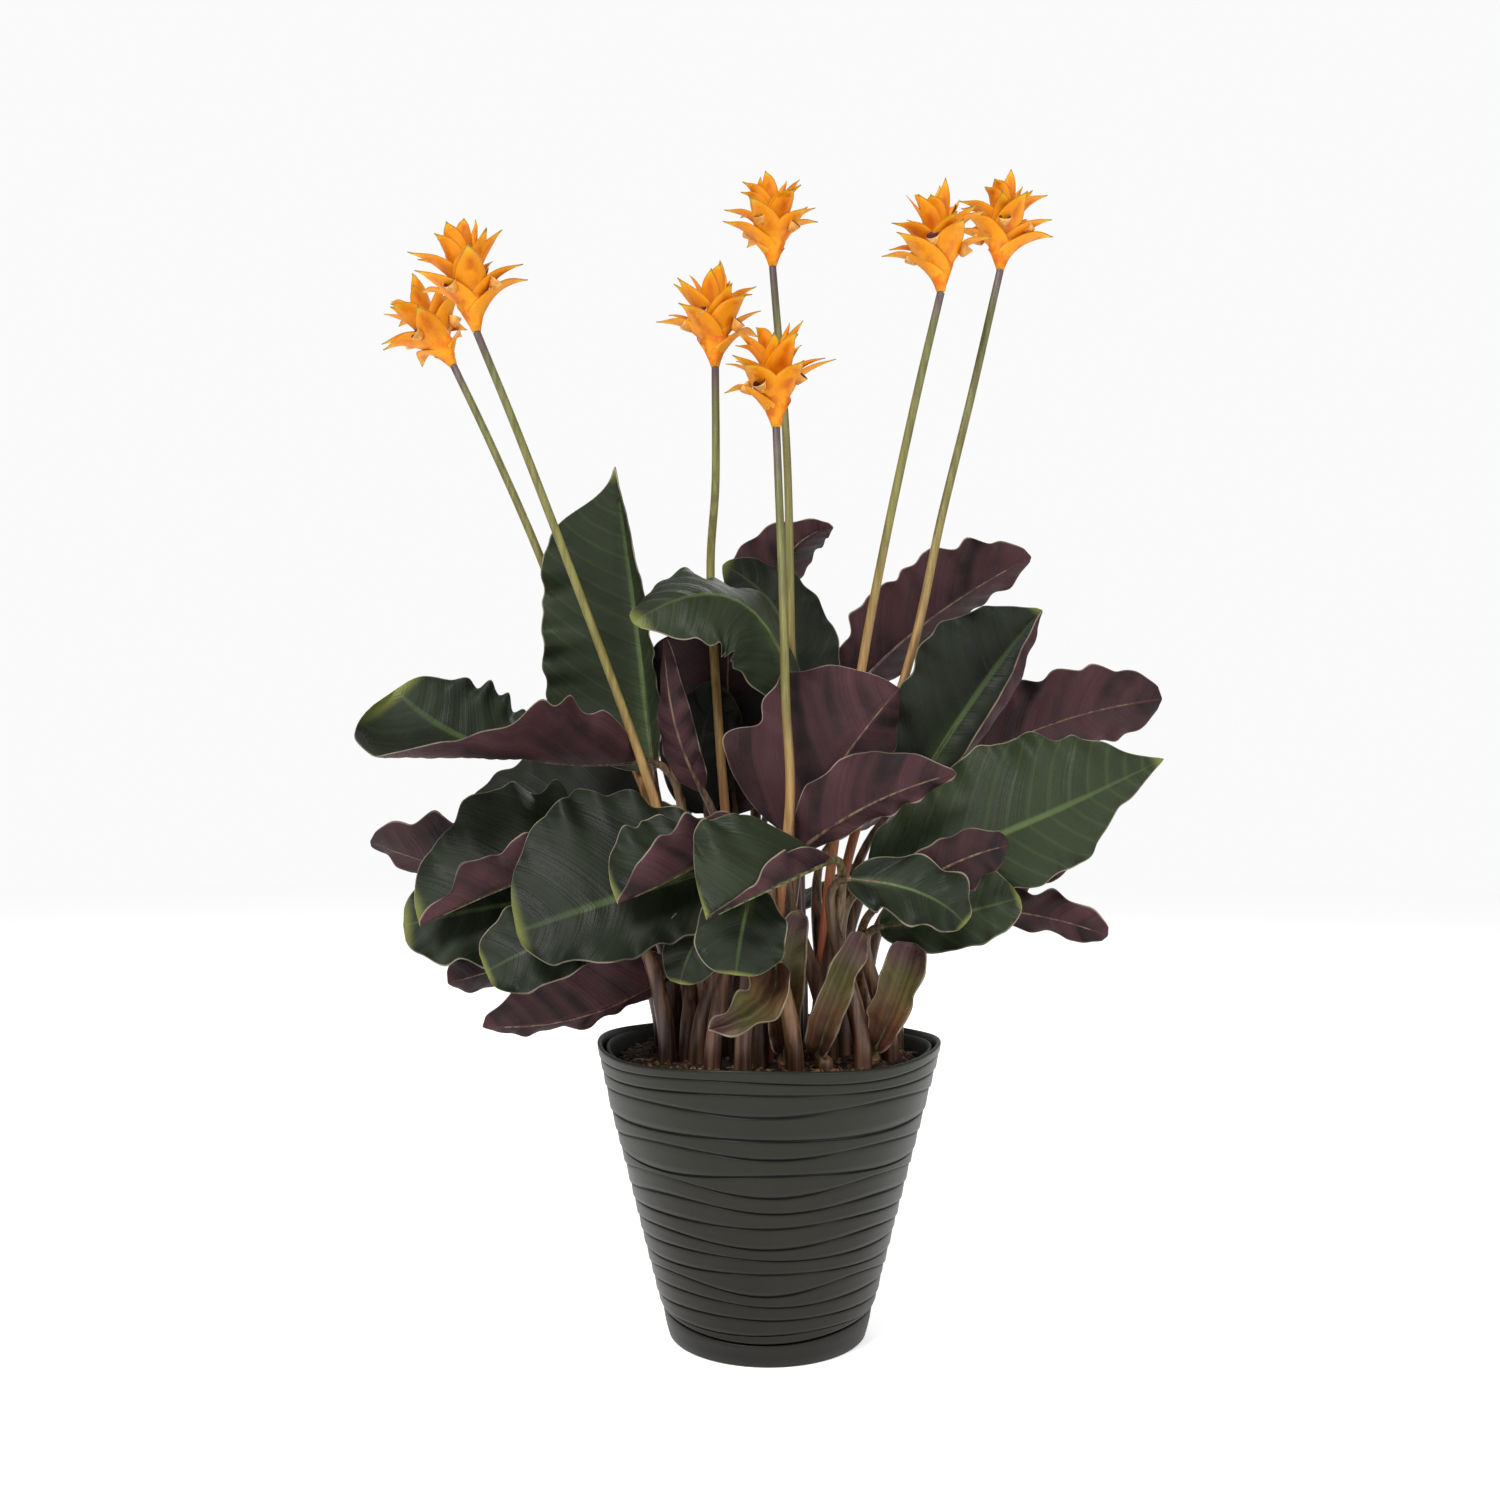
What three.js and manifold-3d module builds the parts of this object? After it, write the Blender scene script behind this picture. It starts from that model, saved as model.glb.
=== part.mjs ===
// Eternal flame calathea in flower, standing in a layered plastic pot with a clip-on saucer.
// Millimetres, +Z up. The origin is the middle of the saucer's flat underside, the front faces -Y.
import * as THREE from "three";
import { mergeVertices } from "three/addons/utils/BufferGeometryUtils.js";
import Module from "manifold-3d";

const wasm = await Module();
wasm.setup();

// Pot, liner, saucer and soil
const gap = 0.3;
const soilTop = 137;
const soilRise = 2.5;
const holeSides = 5;
const holeSlack = 1.35;
const rimWave = 1.1;
const rimWaveHeights = [110, 142];
const rimWidths = { count: 3, start: 0.8 };
const rimLifts = { count: 4, start: 2.1 };
const seamWave = 2.2;
const seamLifts = { count: 2, start: 1.8 };
const seamBand = { low: 13, high: 18, radius: 48.5 };
const potSides = 32;
const drainHoles = 5;
const drainRadius = 4;
const drainRing = 28;
const drainSides = 8;
const cutReach = 10;
const soilEdge = 70;

// Leaves
const bladeThickness = 0.9;
const bladeEndHalf = 1.6;
const bladeTipHalf = 0.7;
const footRadius = 4.2;
const sheathRadii = [4.2, 4.2, 3.2, 2.2, 1.8];
const ribRadius = 0.7;
const ribShare = 0.12;
const footDepth = 9;
const stalkSides = 5;
const collarHeight = 4;
const stalkRise = 0.4;
const stalkLead = 0.3;
const ribInset = 0.3;
const wavePhase = 1.3;
const largeHalf = 26;
const largeGrid = [8, 4];
const smallGrid = [7, 2];
const plainTrim = [1, 1];

// Flower stems and heads
const stemFootRadius = 2.6;
const stemTopRadius = 1.9;
const stemDepth = 11;
const stemSteps = 7;
const bractCount = 9;
const bractGrid = [3, 2];
const bractThickness = 0.9;
const headHeight = 53;
const headRadius = 30;
const headGap = 0.8;
const goldenAngle = 2.39996;
const coreHeights = [0, 0.25, 0.55, 0.85];
const coreRadii = [2.4, 7, 6, 2.5];

// Bracts: each pair is the value for the lowest bract, then for the topmost one.
// Heights are shares of the head's height, and reaches are shares of its radius.
const bractHalf = [11, 6];
const bractRootHeight = [0.04, 0.46];
const bractMiddle = { reach: [0.42, 0.26], height: [0.31, 0.76] };
const bractTip = { reach: [1, 0.34], height: [0.46, 0.96] };
const bractTipEase = 2;
const bractOpening = [1.1, 0.5];
const bractSwell = [0.5, 1];
const bractBend = [8, 8, 65, 25];
const bractEnds = [1.5, 0.5];

// foot: where the leaf stalk leaves the soil, x and y.
// base, mid, tip: the midrib from where the blade starts. half: half width left and right of it.
// face: the way the upper side looks, at the base and at the tip. swell: fullness at base and tip.
// left, right: degrees that each half folds up at base and tip, then curls at base and tip.
// ruffle: height of the waves along the edge, their number along the leaf and their phase.
// trim: shares of each half's width at even places from base to tip, where the outline isn't plain.
const leaves = [
  {
    name: "leaf_left_tall", foot: [-28, 11],
    base: [-58, 16, 279], mid: [-67, 22, 357], tip: [-77, 8, 433],
    half: [47, 13], face: [[-0.15, -1, 0.1], [-0.1, -1, 0]], swell: [0.5, 0.55],
    left: [8, 12, 12, 12], right: [30, 50, 20, 40], ruffle: [3, 3, 0],
    trim: [[1.2, 1.2, 1.05, 1, 1.1, 0.15], [1, 1, 1, 1, 0.8, 0.2]],
  },
  {
    name: "leaf_left_boat", foot: [-49, -11],
    base: [-65, -4, 284], mid: [-130, -22, 288], tip: [-180, -22, 318],
    half: [50, 34], face: [[-0.1, -0.1, 1], [-0.2, -0.8, 0.5]], swell: [0.55, 0.55],
    left: [20, -5, 105, 55], right: [25, 10, 10, -20], ruffle: [3, 3, 1],
    trim: [[1, 1, 1.05, 1.1, 1.35, 1.6], [1, 1, 1, 1, 1, 1]],
  },
  {
    name: "leaf_left_dart", foot: [-46, 15],
    base: [-106, 16, 224], mid: [-155, 8, 230], tip: [-199, 2, 244],
    half: [30, 16], face: [[-0.2, -0.1, 1], [-0.2, -0.2, 1]], swell: [0.55, 0.5],
    left: [45, 45, 20, 20], right: [-30, -35, -20, -20], ruffle: [2, 3, 2],
  },
  {
    name: "leaf_left_back", foot: [-43, 28],
    base: [-60, 38, 263], mid: [-110, 50, 258], tip: [-166, 46, 243],
    half: [24, 42], face: [[-0.3, -0.8, 0.5], [-0.3, -0.8, 0.4]], swell: [0.55, 0.55],
    left: [5, 5, 10, 10], right: [0, 0, -10, -10], ruffle: [2, 3, 0],
  },
  {
    name: "leaf_left_fold", foot: [-28, -21],
    base: [-71, -26, 240], mid: [-112, -42, 228], tip: [-162, -50, 206],
    half: [19, 52], face: [[-0.4, -0.85, 0.4], [-0.4, -0.85, 0.35]], swell: [0.55, 0.5],
    left: [115, 125, 20, 20], right: [0, 5, 8, 8], ruffle: [3, 4, 2],
    trim: [[1.2, 1.2, 1, 1, 0.8, 0.5], [1, 1, 1, 0.95, 0.85, 0.9]],
  },
  {
    name: "leaf_left_low", foot: [-45, 0],
    base: [-77, -7, 218], mid: [-125, -24, 214], tip: [-175, -28, 204],
    half: [30, 30], face: [[-0.3, -0.8, 0.5], [-0.3, -0.8, 0.5]], swell: [0.55, 0.42],
    left: [0, 0, 10, 10], right: [0, 0, 10, 10], ruffle: [2, 4, 1],
  },
  {
    name: "leaf_left_low_small", foot: [-48, -32],
    base: [-77, -42, 208], mid: [-103, -58, 199], tip: [-129, -62, 186],
    half: [20, 22], face: [[-0.3, -0.9, 0.3], [-0.3, -0.9, 0.3]], swell: [0.5, 0.42],
    left: [0, 0, 10, 10], right: [0, 0, 10, 10], ruffle: [2, 3, 1],
  },
  {
    name: "leaf_front_left_big", foot: [-34, -33],
    base: [-14, -42, 235], mid: [-64, -66, 221], tip: [-113, -74, 205],
    half: [30, 58], face: [[-0.1, -1, 0.4], [-0.2, -1, 0.4]], swell: [0.55, 0.5],
    left: [0, 0, 20, 20], right: [0, 5, -12, -12], ruffle: [2.5, 3, 0],
  },
  {
    name: "leaf_front_fold", foot: [-4, -44],
    base: [-10, -54, 250], mid: [-35, -74, 234], tip: [-67, -86, 219],
    half: [21, 42], face: [[-0.4, -0.85, 0.35], [-0.4, -0.85, 0.35]], swell: [0.55, 0.5],
    left: [110, 115, 15, 15], right: [0, 0, 5, 5], ruffle: [2.5, 3, 0],
    trim: [[1, 1, 1, 1, 0.8, 0.4], [0.4, 0.6, 0.8, 0.85, 0.85, 1]],
  },
  {
    name: "leaf_front_centre", foot: [24, -31],
    base: [28, -66, 237], mid: [-1, -102, 226], tip: [-27, -110, 214],
    half: [14, 42], face: [[0, -1, 0.3], [0, -1, 0.4]], swell: [0.7, 0.5],
    left: [150, 150, 10, 10], right: [5, 0, -15, -15], ruffle: [2.5, 3, 1],
    trim: [[1, 1.2, 0.8, 0.3, 0.2, 0.2], [0.8, 1.09, 1, 0.98, 0.92, 1]],
  },
  {
    name: "leaf_top_arch", foot: [5, 4],
    base: [16, -4, 306], mid: [-13, -22, 360], tip: [-64, -38, 348],
    half: [32, 38], face: [[0.2, -0.5, 0.85], [-0.1, -0.7, 0.7]], swell: [0.55, 0.5],
    left: [-10, -20, -15, -15], right: [-10, -10, -15, -15], ruffle: [2.5, 3, 0],
    trim: [[1, 1, 1, 1, 1, 0.6], [0.7, 0.8, 1, 1.1, 1.1, 0.8]],
  },
  {
    name: "leaf_top_back", foot: [15, 19],
    base: [17, 32, 296], mid: [10, 38, 355], tip: [-23, 32, 387],
    half: [32, 25], face: [[0, -1, 0.2], [0.3, -1, 0.3]], swell: [0.55, 0.7],
    left: [0, 0, 10, 10], right: [0, 0, -15, -15], ruffle: [2, 3, 0],
  },
  {
    name: "leaf_back_tip", foot: [-4, 40],
    base: [-6, 50, 323], mid: [5, 56, 386], tip: [35, 44, 410],
    half: [26, 24], face: [[-0.3, 0.9, 0.2], [-0.4, 0.8, 0.5]], swell: [0.55, 0.6],
    left: [20, 30, 20, 20], right: [10, 30, 20, 20], ruffle: [2.5, 4, 1],
    trim: [[0.8, 0.8, 0.9, 1.1, 1.2, 0.8], [1, 1, 1, 0.9, 0.6, 0.4]],
  },
  {
    name: "leaf_right_back", foot: [18, 38],
    base: [41, 54, 317], mid: [85, 62, 360], tip: [143, 56, 396],
    half: [28, 32], face: [[-0.4, 0.7, 0.6], [-0.4, 0.7, 0.6]], swell: [0.55, 0.5],
    left: [10, 10, 15, 15], right: [10, 10, 20, 20], ruffle: [2, 3, 0],
    trim: [[1.1, 1.1, 1, 0.95, 0.85, 0.8], [1, 1, 1, 1, 1, 0.8]],
  },
  {
    name: "leaf_right_upper", foot: [33, 8],
    base: [73, 10, 267], mid: [107, 4, 320], tip: [138, 4, 360],
    half: [36, 34], face: [[0, -1, 0.1], [0, -1, 0.1]], swell: [0.55, 0.55],
    left: [5, 5, 12, 12], right: [0, 10, 120, 150], ruffle: [2.5, 4, 0],
    trim: [[1, 1, 1, 1, 0.85, 0.4], [1, 1, 1, 1, 0.8, 0.3]],
  },
  {
    name: "leaf_right_arm", foot: [35, 17],
    base: [69, 26, 262], mid: [137, 40, 300], tip: [209, 40, 318],
    half: [30, 25], face: [[-0.1, 0.8, 0.55], [-0.1, 0.8, 0.55]], swell: [0.55, 0.45],
    left: [5, 5, 10, 10], right: [10, 10, 20, 20], ruffle: [2, 4, 1],
  },
  {
    name: "leaf_right_big", foot: [37, -12],
    base: [49, -20, 223], mid: [123, -42, 254], tip: [189, -30, 284],
    half: [42, 26], face: [[0, -1, 0.3], [0, -1, 0.3]], swell: [0.55, 0.7],
    left: [0, 0, -8, -8], right: [-10, -10, -15, -15], ruffle: [2.5, 4, 2],
    trim: [[1.1, 1, 1, 1, 0.9, 0.3], [1, 1, 1.05, 1.05, 0.6, 0.3]],
  },
  {
    name: "leaf_centre_purple", foot: [2, -11],
    base: [11, -24, 246], mid: [38, -34, 287], tip: [63, -28, 318],
    half: [34, 46], face: [[0.1, 1, -0.1], [0.1, 1, 0]], swell: [0.55, 0.6],
    left: [42, 50, 20, 20], right: [0, 5, -10, -10], ruffle: [2.5, 3, 0],
    trim: [[1.1, 1, 1, 1, 1, 0.9], [1.5, 1.3, 1, 1, 1, 0.8]],
  },
  {
    name: "leaf_centre_right", foot: [30, -23],
    base: [15, -36, 241], mid: [48, -52, 263], tip: [87, -50, 277],
    half: [8, 24], face: [[0.1, 0.9, 0.3], [0.1, 0.9, 0.3]], swell: [0.55, 0.5],
    left: [5, 5, 15, 15], right: [5, 5, 15, 15], ruffle: [2, 3, 0],
    trim: [[1, 1, 1, 1, 1, 0.6], [1, 1, 1, 0.9, 0.7, 0.3]],
  },
  {
    name: "leaf_inner_curl", foot: [-18, -13],
    base: [-32, -14, 269], mid: [-45, -26, 302], tip: [-50, -20, 343],
    half: [8, 14], face: [[0, 0.9, 0.1], [0, 0.9, 0.1]], swell: [0.55, 0.7],
    left: [10, 10, 20, 20], right: [10, 60, 40, 40], ruffle: [2, 3, 0],
  },
  {
    name: "leaf_inner_low", foot: [-25, 1],
    base: [-31, 17, 258], mid: [-34, 16, 291], tip: [-23, 14, 323],
    half: [20, 20], face: [[0, -1, 0.1], [0, -1, 0.1]], swell: [0.55, 0.5],
    left: [10, 10, 10, 10], right: [10, 10, 10, 10], ruffle: [2, 3, 0],
  },
  {
    name: "leaf_inner_dark", foot: [-4, 26],
    base: [-16, 24, 257], mid: [-20, 26, 309], tip: [-19, 20, 352],
    half: [30, 36], face: [[0, 1, 0.1], [0, 1, 0.1]], swell: [0.5, 0.5],
    left: [10, 10, -20, -20], right: [10, 10, -20, -20], ruffle: [2, 3, 0],
    trim: [[1, 1, 1, 1, 1.2, 1.6], [1, 1, 1, 1.1, 1.4, 1.8]],
  },
  {
    name: "leaf_low_purple", foot: [-39, -24],
    base: [-44, -15, 183], mid: [-87, -24, 161], tip: [-137, -28, 156],
    half: [33, 8], face: [[0, 0.9, 0.4], [0, 0.9, 0.4]], swell: [0.5, 0.42],
    left: [5, 5, 10, 10], right: [20, 20, 20, 20], ruffle: [2, 3, 0],
    trim: [[0.8, 0.9, 1.1, 1.1, 0.7, 0.5], [1, 1, 1, 1, 1, 1]],
  },
  {
    name: "leaf_low_left_tip", foot: [-53, 10],
    base: [-84, 6, 195], mid: [-123, -4, 184], tip: [-158, -8, 174],
    half: [18, 18], face: [[0, 0.9, 0.4], [0, 0.9, 0.4]], swell: [0.55, 0.5],
    left: [5, 5, 10, 10], right: [20, 20, 20, 20], ruffle: [1.5, 3, 0],
  },
  {
    name: "leaf_front_low_a", foot: [-26, -53],
    base: [-20, -58, 215], mid: [-33, -70, 201], tip: [-40, -72, 182],
    half: [15, 13], face: [[-0.2, -1, 0.3], [-0.2, -1, 0.3]], swell: [0.55, 0.5],
    left: [0, 0, 10, 10], right: [0, 0, 10, 10], ruffle: [1.5, 3, 0],
  },
  {
    name: "leaf_front_low_b", foot: [-12, -60],
    base: [-8, -74, 224], mid: [-12, -88, 208], tip: [-15, -88, 188],
    half: [19, 19], face: [[0, -1, 0.4], [0, -1, 0.1]], swell: [0.55, 0.42],
    left: [0, 0, 10, 10], right: [0, 0, 10, 10], ruffle: [2.5, 3, 1],
  },
  {
    name: "leaf_front_mauve", foot: [8, -44],
    base: [8, -47, 147], mid: [8, -53, 180], tip: [14, -60, 214],
    half: [8, 8], face: [[0, -1, 0.1], [0.1, -1, 0.1]], swell: [0.25, 0.3],
    left: [10, 0, 40, 30], right: [10, 0, 40, 50], ruffle: [2, 2, 0],
  },
  {
    name: "leaf_front_yellow", foot: [12, -55],
    base: [3, -68, 190], mid: [-3, -78, 172], tip: [-27, -82, 163],
    half: [14, 14], face: [[-0.6, -0.8, 0.2], [-0.2, -0.5, 0.9]], swell: [0.55, 0.6],
    left: [20, 20, 10, 10], right: [60, 80, 20, 20], ruffle: [2, 3, 0],
  },
  {
    name: "leaf_right_low_green", foot: [44, -47],
    base: [37, -56, 228], mid: [67, -72, 223], tip: [87, -76, 209],
    half: [15, 18], face: [[0, -1, 0.4], [0, -1, 0.4]], swell: [0.55, 0.5],
    left: [0, 0, 10, 10], right: [10, 20, 20, 20], ruffle: [2.5, 3, 0],
  },
  {
    name: "leaf_right_low_ruffle", foot: [59, -24],
    base: [53, -34, 204], mid: [87, -46, 211], tip: [117, -48, 219],
    half: [20, 16], face: [[0, -1, 0.4], [0, -1, 0.4]], swell: [0.55, 0.5],
    left: [0, 0, 10, 10], right: [0, 0, 10, 10], ruffle: [2.5, 4, 0],
  },
  {
    name: "leaf_right_low_purple", foot: [65, 9],
    base: [80, -8, 211], mid: [123, -18, 210], tip: [164, -24, 199],
    half: [9, 11], face: [[0, 0.9, 0.4], [0, 0.9, 0.4]], swell: [0.6, 0.4],
    left: [5, 5, 10, 10], right: [5, 5, 10, 10], ruffle: [1.5, 3, 0],
  },
  {
    name: "leaf_right_low_sliver", foot: [48, 10],
    base: [80, 8, 222], mid: [117, 2, 227], tip: [152, 0, 234],
    half: [13, 13], face: [[0, 0.9, 0.4], [0, 0.9, 0.4]], swell: [0.55, 0.6],
    left: [5, 5, 10, 10], right: [5, 5, 10, 10], ruffle: [1.5, 3, 0],
  },
  {
    name: "leaf_right_mid_fold", foot: [50, 1],
    base: [52, -42, 215], mid: [82, -64, 235], tip: [109, -64, 244],
    half: [15, 12], face: [[-0.1, 0.9, 0.3], [-0.1, 0.9, 0.3]], swell: [0.55, 0.5],
    left: [5, 5, 15, 15], right: [5, 5, 15, 15], ruffle: [1.5, 3, 0],
  },
  {
    name: "leaf_right_sheath", foot: [49, -34],
    base: [51, -37, 147], mid: [60, -44, 171], tip: [68, -49, 198],
    half: [11, 12], face: [[-0.3, -1, 0.1], [-0.3, -1, 0.2]], swell: [0.4, 0.16],
    left: [20, 10, 30, 30], right: [30, 30, 30, 20], ruffle: [2, 3, 0],
  },
  {
    name: "leaf_mid_sheath", foot: [26, -50],
    base: [23, -50, 147], mid: [30, -57, 171], tip: [43, -60, 204],
    half: [9, 7], face: [[-0.3, -1, 0.1], [-0.3, -1, 0.1]], swell: [0.3, 0.25],
    left: [30, 30, 30, 30], right: [20, 10, 30, 30], ruffle: [2, 3, 0],
  },
  {
    name: "leaf_back_left", foot: [-22, 39],
    base: [-53, 68, 254], mid: [-78, 100, 264], tip: [-106, 128, 261],
    half: [34, 34], face: [[-0.2, 0.5, 0.9], [-0.4, 0.7, 0.5]], swell: [0.55, 0.6],
    left: [10, 10, -10, -10], right: [10, 10, -10, -10], ruffle: [2.5, 4, 0],
  },
  {
    name: "leaf_back_mid", foot: [4, 49],
    base: [0, 72, 256], mid: [9, 104, 287], tip: [10, 150, 298],
    half: [36, 36], face: [[0, -0.6, 0.8], [0, 0.5, 0.9]], swell: [0.55, 0.6],
    left: [10, 10, -10, -10], right: [10, 10, -10, -10], ruffle: [2.5, 4, 1],
  },
  {
    name: "leaf_back_right", foot: [32, 40],
    base: [38, 64, 243], mid: [79, 96, 259], tip: [119, 120, 252],
    half: [34, 34], face: [[0.2, 0.4, 0.9], [0.4, 0.7, 0.5]], swell: [0.55, 0.6],
    left: [10, 10, -10, -10], right: [10, 10, -10, -10], ruffle: [2.5, 4, 2],
  },
  {
    name: "leaf_back_low_left", foot: [-17, 53],
    base: [-17, 86, 194], mid: [-44, 116, 200], tip: [-62, 142, 182],
    half: [28, 28], face: [[-0.2, 0.5, 0.9], [-0.3, 0.8, 0.5]], swell: [0.55, 0.55],
    left: [5, 5, -10, -10], right: [5, 5, -10, -10], ruffle: [2.5, 4, 0],
  },
  {
    name: "leaf_back_low_right", foot: [17, 54],
    base: [14, 88, 197], mid: [39, 118, 218], tip: [65, 146, 209],
    half: [28, 28], face: [[0.2, 0.5, 0.9], [0.3, 0.8, 0.5]], swell: [0.55, 0.55],
    left: [5, 5, -10, -10], right: [5, 5, -10, -10], ruffle: [2.5, 4, 1],
  },
];

// path: the stem from the soil to the head. lean: the way the head points. size, turn: of the head.
const flowers = [
  {
    name: "left_front",
    path: [
      [-28, -8, 141], [-39, -10, 205], [-57, -14, 269],
      [-82, -10, 338], [-119, -16, 436], [-141, -22, 491],
    ],
    lean: [-0.17, -0.1, 0.98], size: 1.05, turn: 0.3,
  },
  {
    name: "left_back",
    path: [
      [-33, 0, 141], [-46, 8, 208], [-65, 20, 275], [-92, 26, 322],
      [-117, 28, 389], [-143, 32, 448], [-164, 34, 492],
    ],
    lean: [-0.52, 0.09, 0.85], size: 1, turn: 1.1,
  },
  {
    name: "top",
    path: [
      [-7, 12, 141], [1, 14, 213], [12, 16, 285],
      [12, 20, 367], [10, 24, 451], [3, 24, 540],
    ],
    lean: [0, 0, 1], size: 0.96, turn: 2,
  },
  {
    name: "middle_left",
    path: [
      [-15, 7, 141], [-18, 6, 218], [-24, 4, 295],
      [-29, 21, 379], [-26, 4, 425], [-26, -2, 480],
    ],
    lean: [-0.04, 0, 1], size: 1, turn: 0.6,
  },
  {
    name: "middle_low",
    path: [
      [0, -28, 141], [4, -35, 203], [10, -46, 264],
      [8, -42, 312], [7, -36, 359], [4, -24, 444],
    ],
    lean: [-0.04, -0.08, 1], size: 1.03, turn: 1.7,
  },
  {
    name: "right_front",
    path: [
      [22, -17, 141], [32, -9, 237], [48, 4, 334],
      [59, 0, 394], [73, -10, 462], [84, -20, 511],
    ],
    lean: [-0.07, -0.08, 0.99], size: 1, turn: 2.7,
  },
  {
    name: "right_tall",
    path: [
      [21, 2, 141], [42, 5, 240], [73, 10, 338],
      [89, 16, 408], [105, 22, 471], [121, 26, 539],
    ],
    lean: [0.07, 0.07, 1], size: 0.98, turn: 0.1,
  },
];

const up = new THREE.Vector3(0, 0, 1);
const vec = (a) => new THREE.Vector3(a[0], a[1], a[2]);
const mix = (a, b, t) => a + (b - a) * t;
const group = new THREE.Group();

const finishes = {
  pot: { color: 0x4e4e48, roughness: 0.45 },
  liner: { color: 0x2b2a27, roughness: 0.55 },
  soil: { color: 0x4a3524, roughness: 0.95 },
  leaf: { color: 0x3f5a38, roughness: 0.45 },
  stem: { color: 0x8f7f4a, roughness: 0.5 },
  bract: { color: 0xf08a12, roughness: 0.5 },
};

// A closed solid from points and triangles, turned to face out whichever way it was wound.
function solidOf(points, triangles) {
  let volume = 0;
  const cross = new THREE.Vector3();
  for (const [a, b, c] of triangles) {
    volume += cross.crossVectors(points[a], points[b]).dot(points[c]);
  }
  const wound = volume < 0 ? triangles.map(([a, b, c]) => [a, c, b]) : triangles;
  return new wasm.Manifold(
    new wasm.Mesh({
      numProp: 3,
      vertProperties: new Float32Array(points.flatMap((p) => [p.x, p.y, p.z])),
      triVerts: new Uint32Array(wound.flat()),
    }),
  );
}

function addNode(name, solid, finish) {
  const mesh = solid.getMesh();
  const geometry = new THREE.BufferGeometry();
  geometry.setAttribute("position", new THREE.BufferAttribute(mesh.vertProperties, 3));
  geometry.setIndex(new THREE.BufferAttribute(mesh.triVerts, 1));
  geometry.computeVertexNormals();
  const material = new THREE.MeshStandardMaterial({ ...finishes[finish], metalness: 0 });
  const node = new THREE.Mesh(geometry, material);
  node.name = name;
  group.add(node);
}

// A round bar through the points, with its own radius at each, closed flat at both ends.
function bar(points, radii, sides, across) {
  const rings = [];
  for (let i = 0; i < points.length; i++) {
    const ahead = points[Math.min(i + 1, points.length - 1)];
    const behind = points[Math.max(i - 1, 0)];
    const along = ahead.clone().sub(behind).normalize();
    const a = across.clone().addScaledVector(along, -across.dot(along)).normalize();
    const b = along.clone().cross(a);
    for (let k = 0; k < sides; k++) {
      const turn = (2 * Math.PI * k) / sides;
      rings.push(
        points[i]
          .clone()
          .addScaledVector(a, radii[i] * Math.cos(turn))
          .addScaledVector(b, radii[i] * Math.sin(turn)),
      );
    }
  }
  const faces = [];
  for (let i = 0; i + 1 < points.length; i++) {
    for (let k = 0; k < sides; k++) {
      const p = i * sides + k;
      const q = i * sides + ((k + 1) % sides);
      faces.push([p, q, q + sides], [p, q + sides, p + sides]);
    }
  }
  const last = (points.length - 1) * sides;
  for (let k = 1; k + 1 < sides; k++) {
    faces.push([0, k + 1, k], [last, last + k, last + k + 1]);
  }
  return solidOf(rings, faces);
}

function bladeWidth(s, half, swell, ends) {
  const peak = swell[0] / (swell[0] + swell[1]);
  const full = peak ** swell[0] * (1 - peak) ** swell[1];
  return (half * s ** swell[0] * (1 - s) ** swell[1]) / full + mix(ends[0], ends[1], s);
}

// The share of a half's width that the leaf's own outline leaves at a place along it.
function trimAt(leaf, hand, s) {
  const row = leaf.trim ? leaf.trim[hand < 0 ? 0 : 1] : plainTrim;
  const last = row.length - 1;
  const n = Math.min(Math.floor(s * last), last - 1);
  return mix(row[n], row[n + 1], THREE.MathUtils.smoothstep(s * last, n, n + 1));
}

function midrib(leaf) {
  const base = vec(leaf.base);
  const tip = vec(leaf.tip);
  const pull = vec(leaf.mid).multiplyScalar(2).addScaledVector(base.clone().add(tip), -0.5);
  return new THREE.QuadraticBezierCurve3(base, pull, tip);
}

// A blade with its waved edge, folded and curled on each side of the midrib.
function blade(leaf, [rows, columns], thickness, ends) {
  const rib = midrib(leaf);
  const upper = [];
  const lower = [];
  for (let i = 0; i <= rows; i++) {
    const s = i / rows;
    const centre = rib.getPoint(s);
    const along = rib.getTangent(s);
    const face = vec(leaf.face[0]).lerp(vec(leaf.face[1]), s).normalize();
    const side = along.clone().cross(face).normalize();
    const normal = side.clone().cross(along);
    for (let j = 0; j <= columns; j++) {
      const v = (2 * j) / columns - 1;
      const t = Math.abs(v);
      const hand = v < 0 ? -1 : 1;
      const bend = v < 0 ? leaf.left : leaf.right;
      const half = v < 0 ? leaf.half[0] : leaf.half[1];
      const width = bladeWidth(s, half, leaf.swell, ends) * trimAt(leaf, hand, s);
      const fold = THREE.MathUtils.degToRad(mix(bend[0], bend[1], s));
      const curl = THREE.MathUtils.degToRad(mix(bend[2], bend[3], s)) || 0.001;
      const out = (width * (Math.sin(fold + curl * t) - Math.sin(fold))) / curl;
      let rise = (width * (Math.cos(fold) - Math.cos(fold + curl * t))) / curl;
      const wave = 2 * Math.PI * leaf.ruffle[1] * s + leaf.ruffle[2] + (v < 0 ? 0 : wavePhase);
      rise += leaf.ruffle[0] * (width / half) * t * t * Math.sin(wave);
      const point = centre.clone().addScaledVector(side, hand * out).addScaledVector(normal, rise);
      const lean = v === 0 ? 0 : fold + curl * t;
      const skin = normal
        .clone()
        .multiplyScalar(Math.cos(lean))
        .addScaledVector(side, -hand * Math.sin(lean))
        .multiplyScalar(thickness / 2);
      upper.push(point.clone().add(skin));
      lower.push(point.clone().sub(skin));
    }
  }
  return solidOf([...upper, ...lower], bladeFaces(upper, rows, columns));
}

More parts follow.
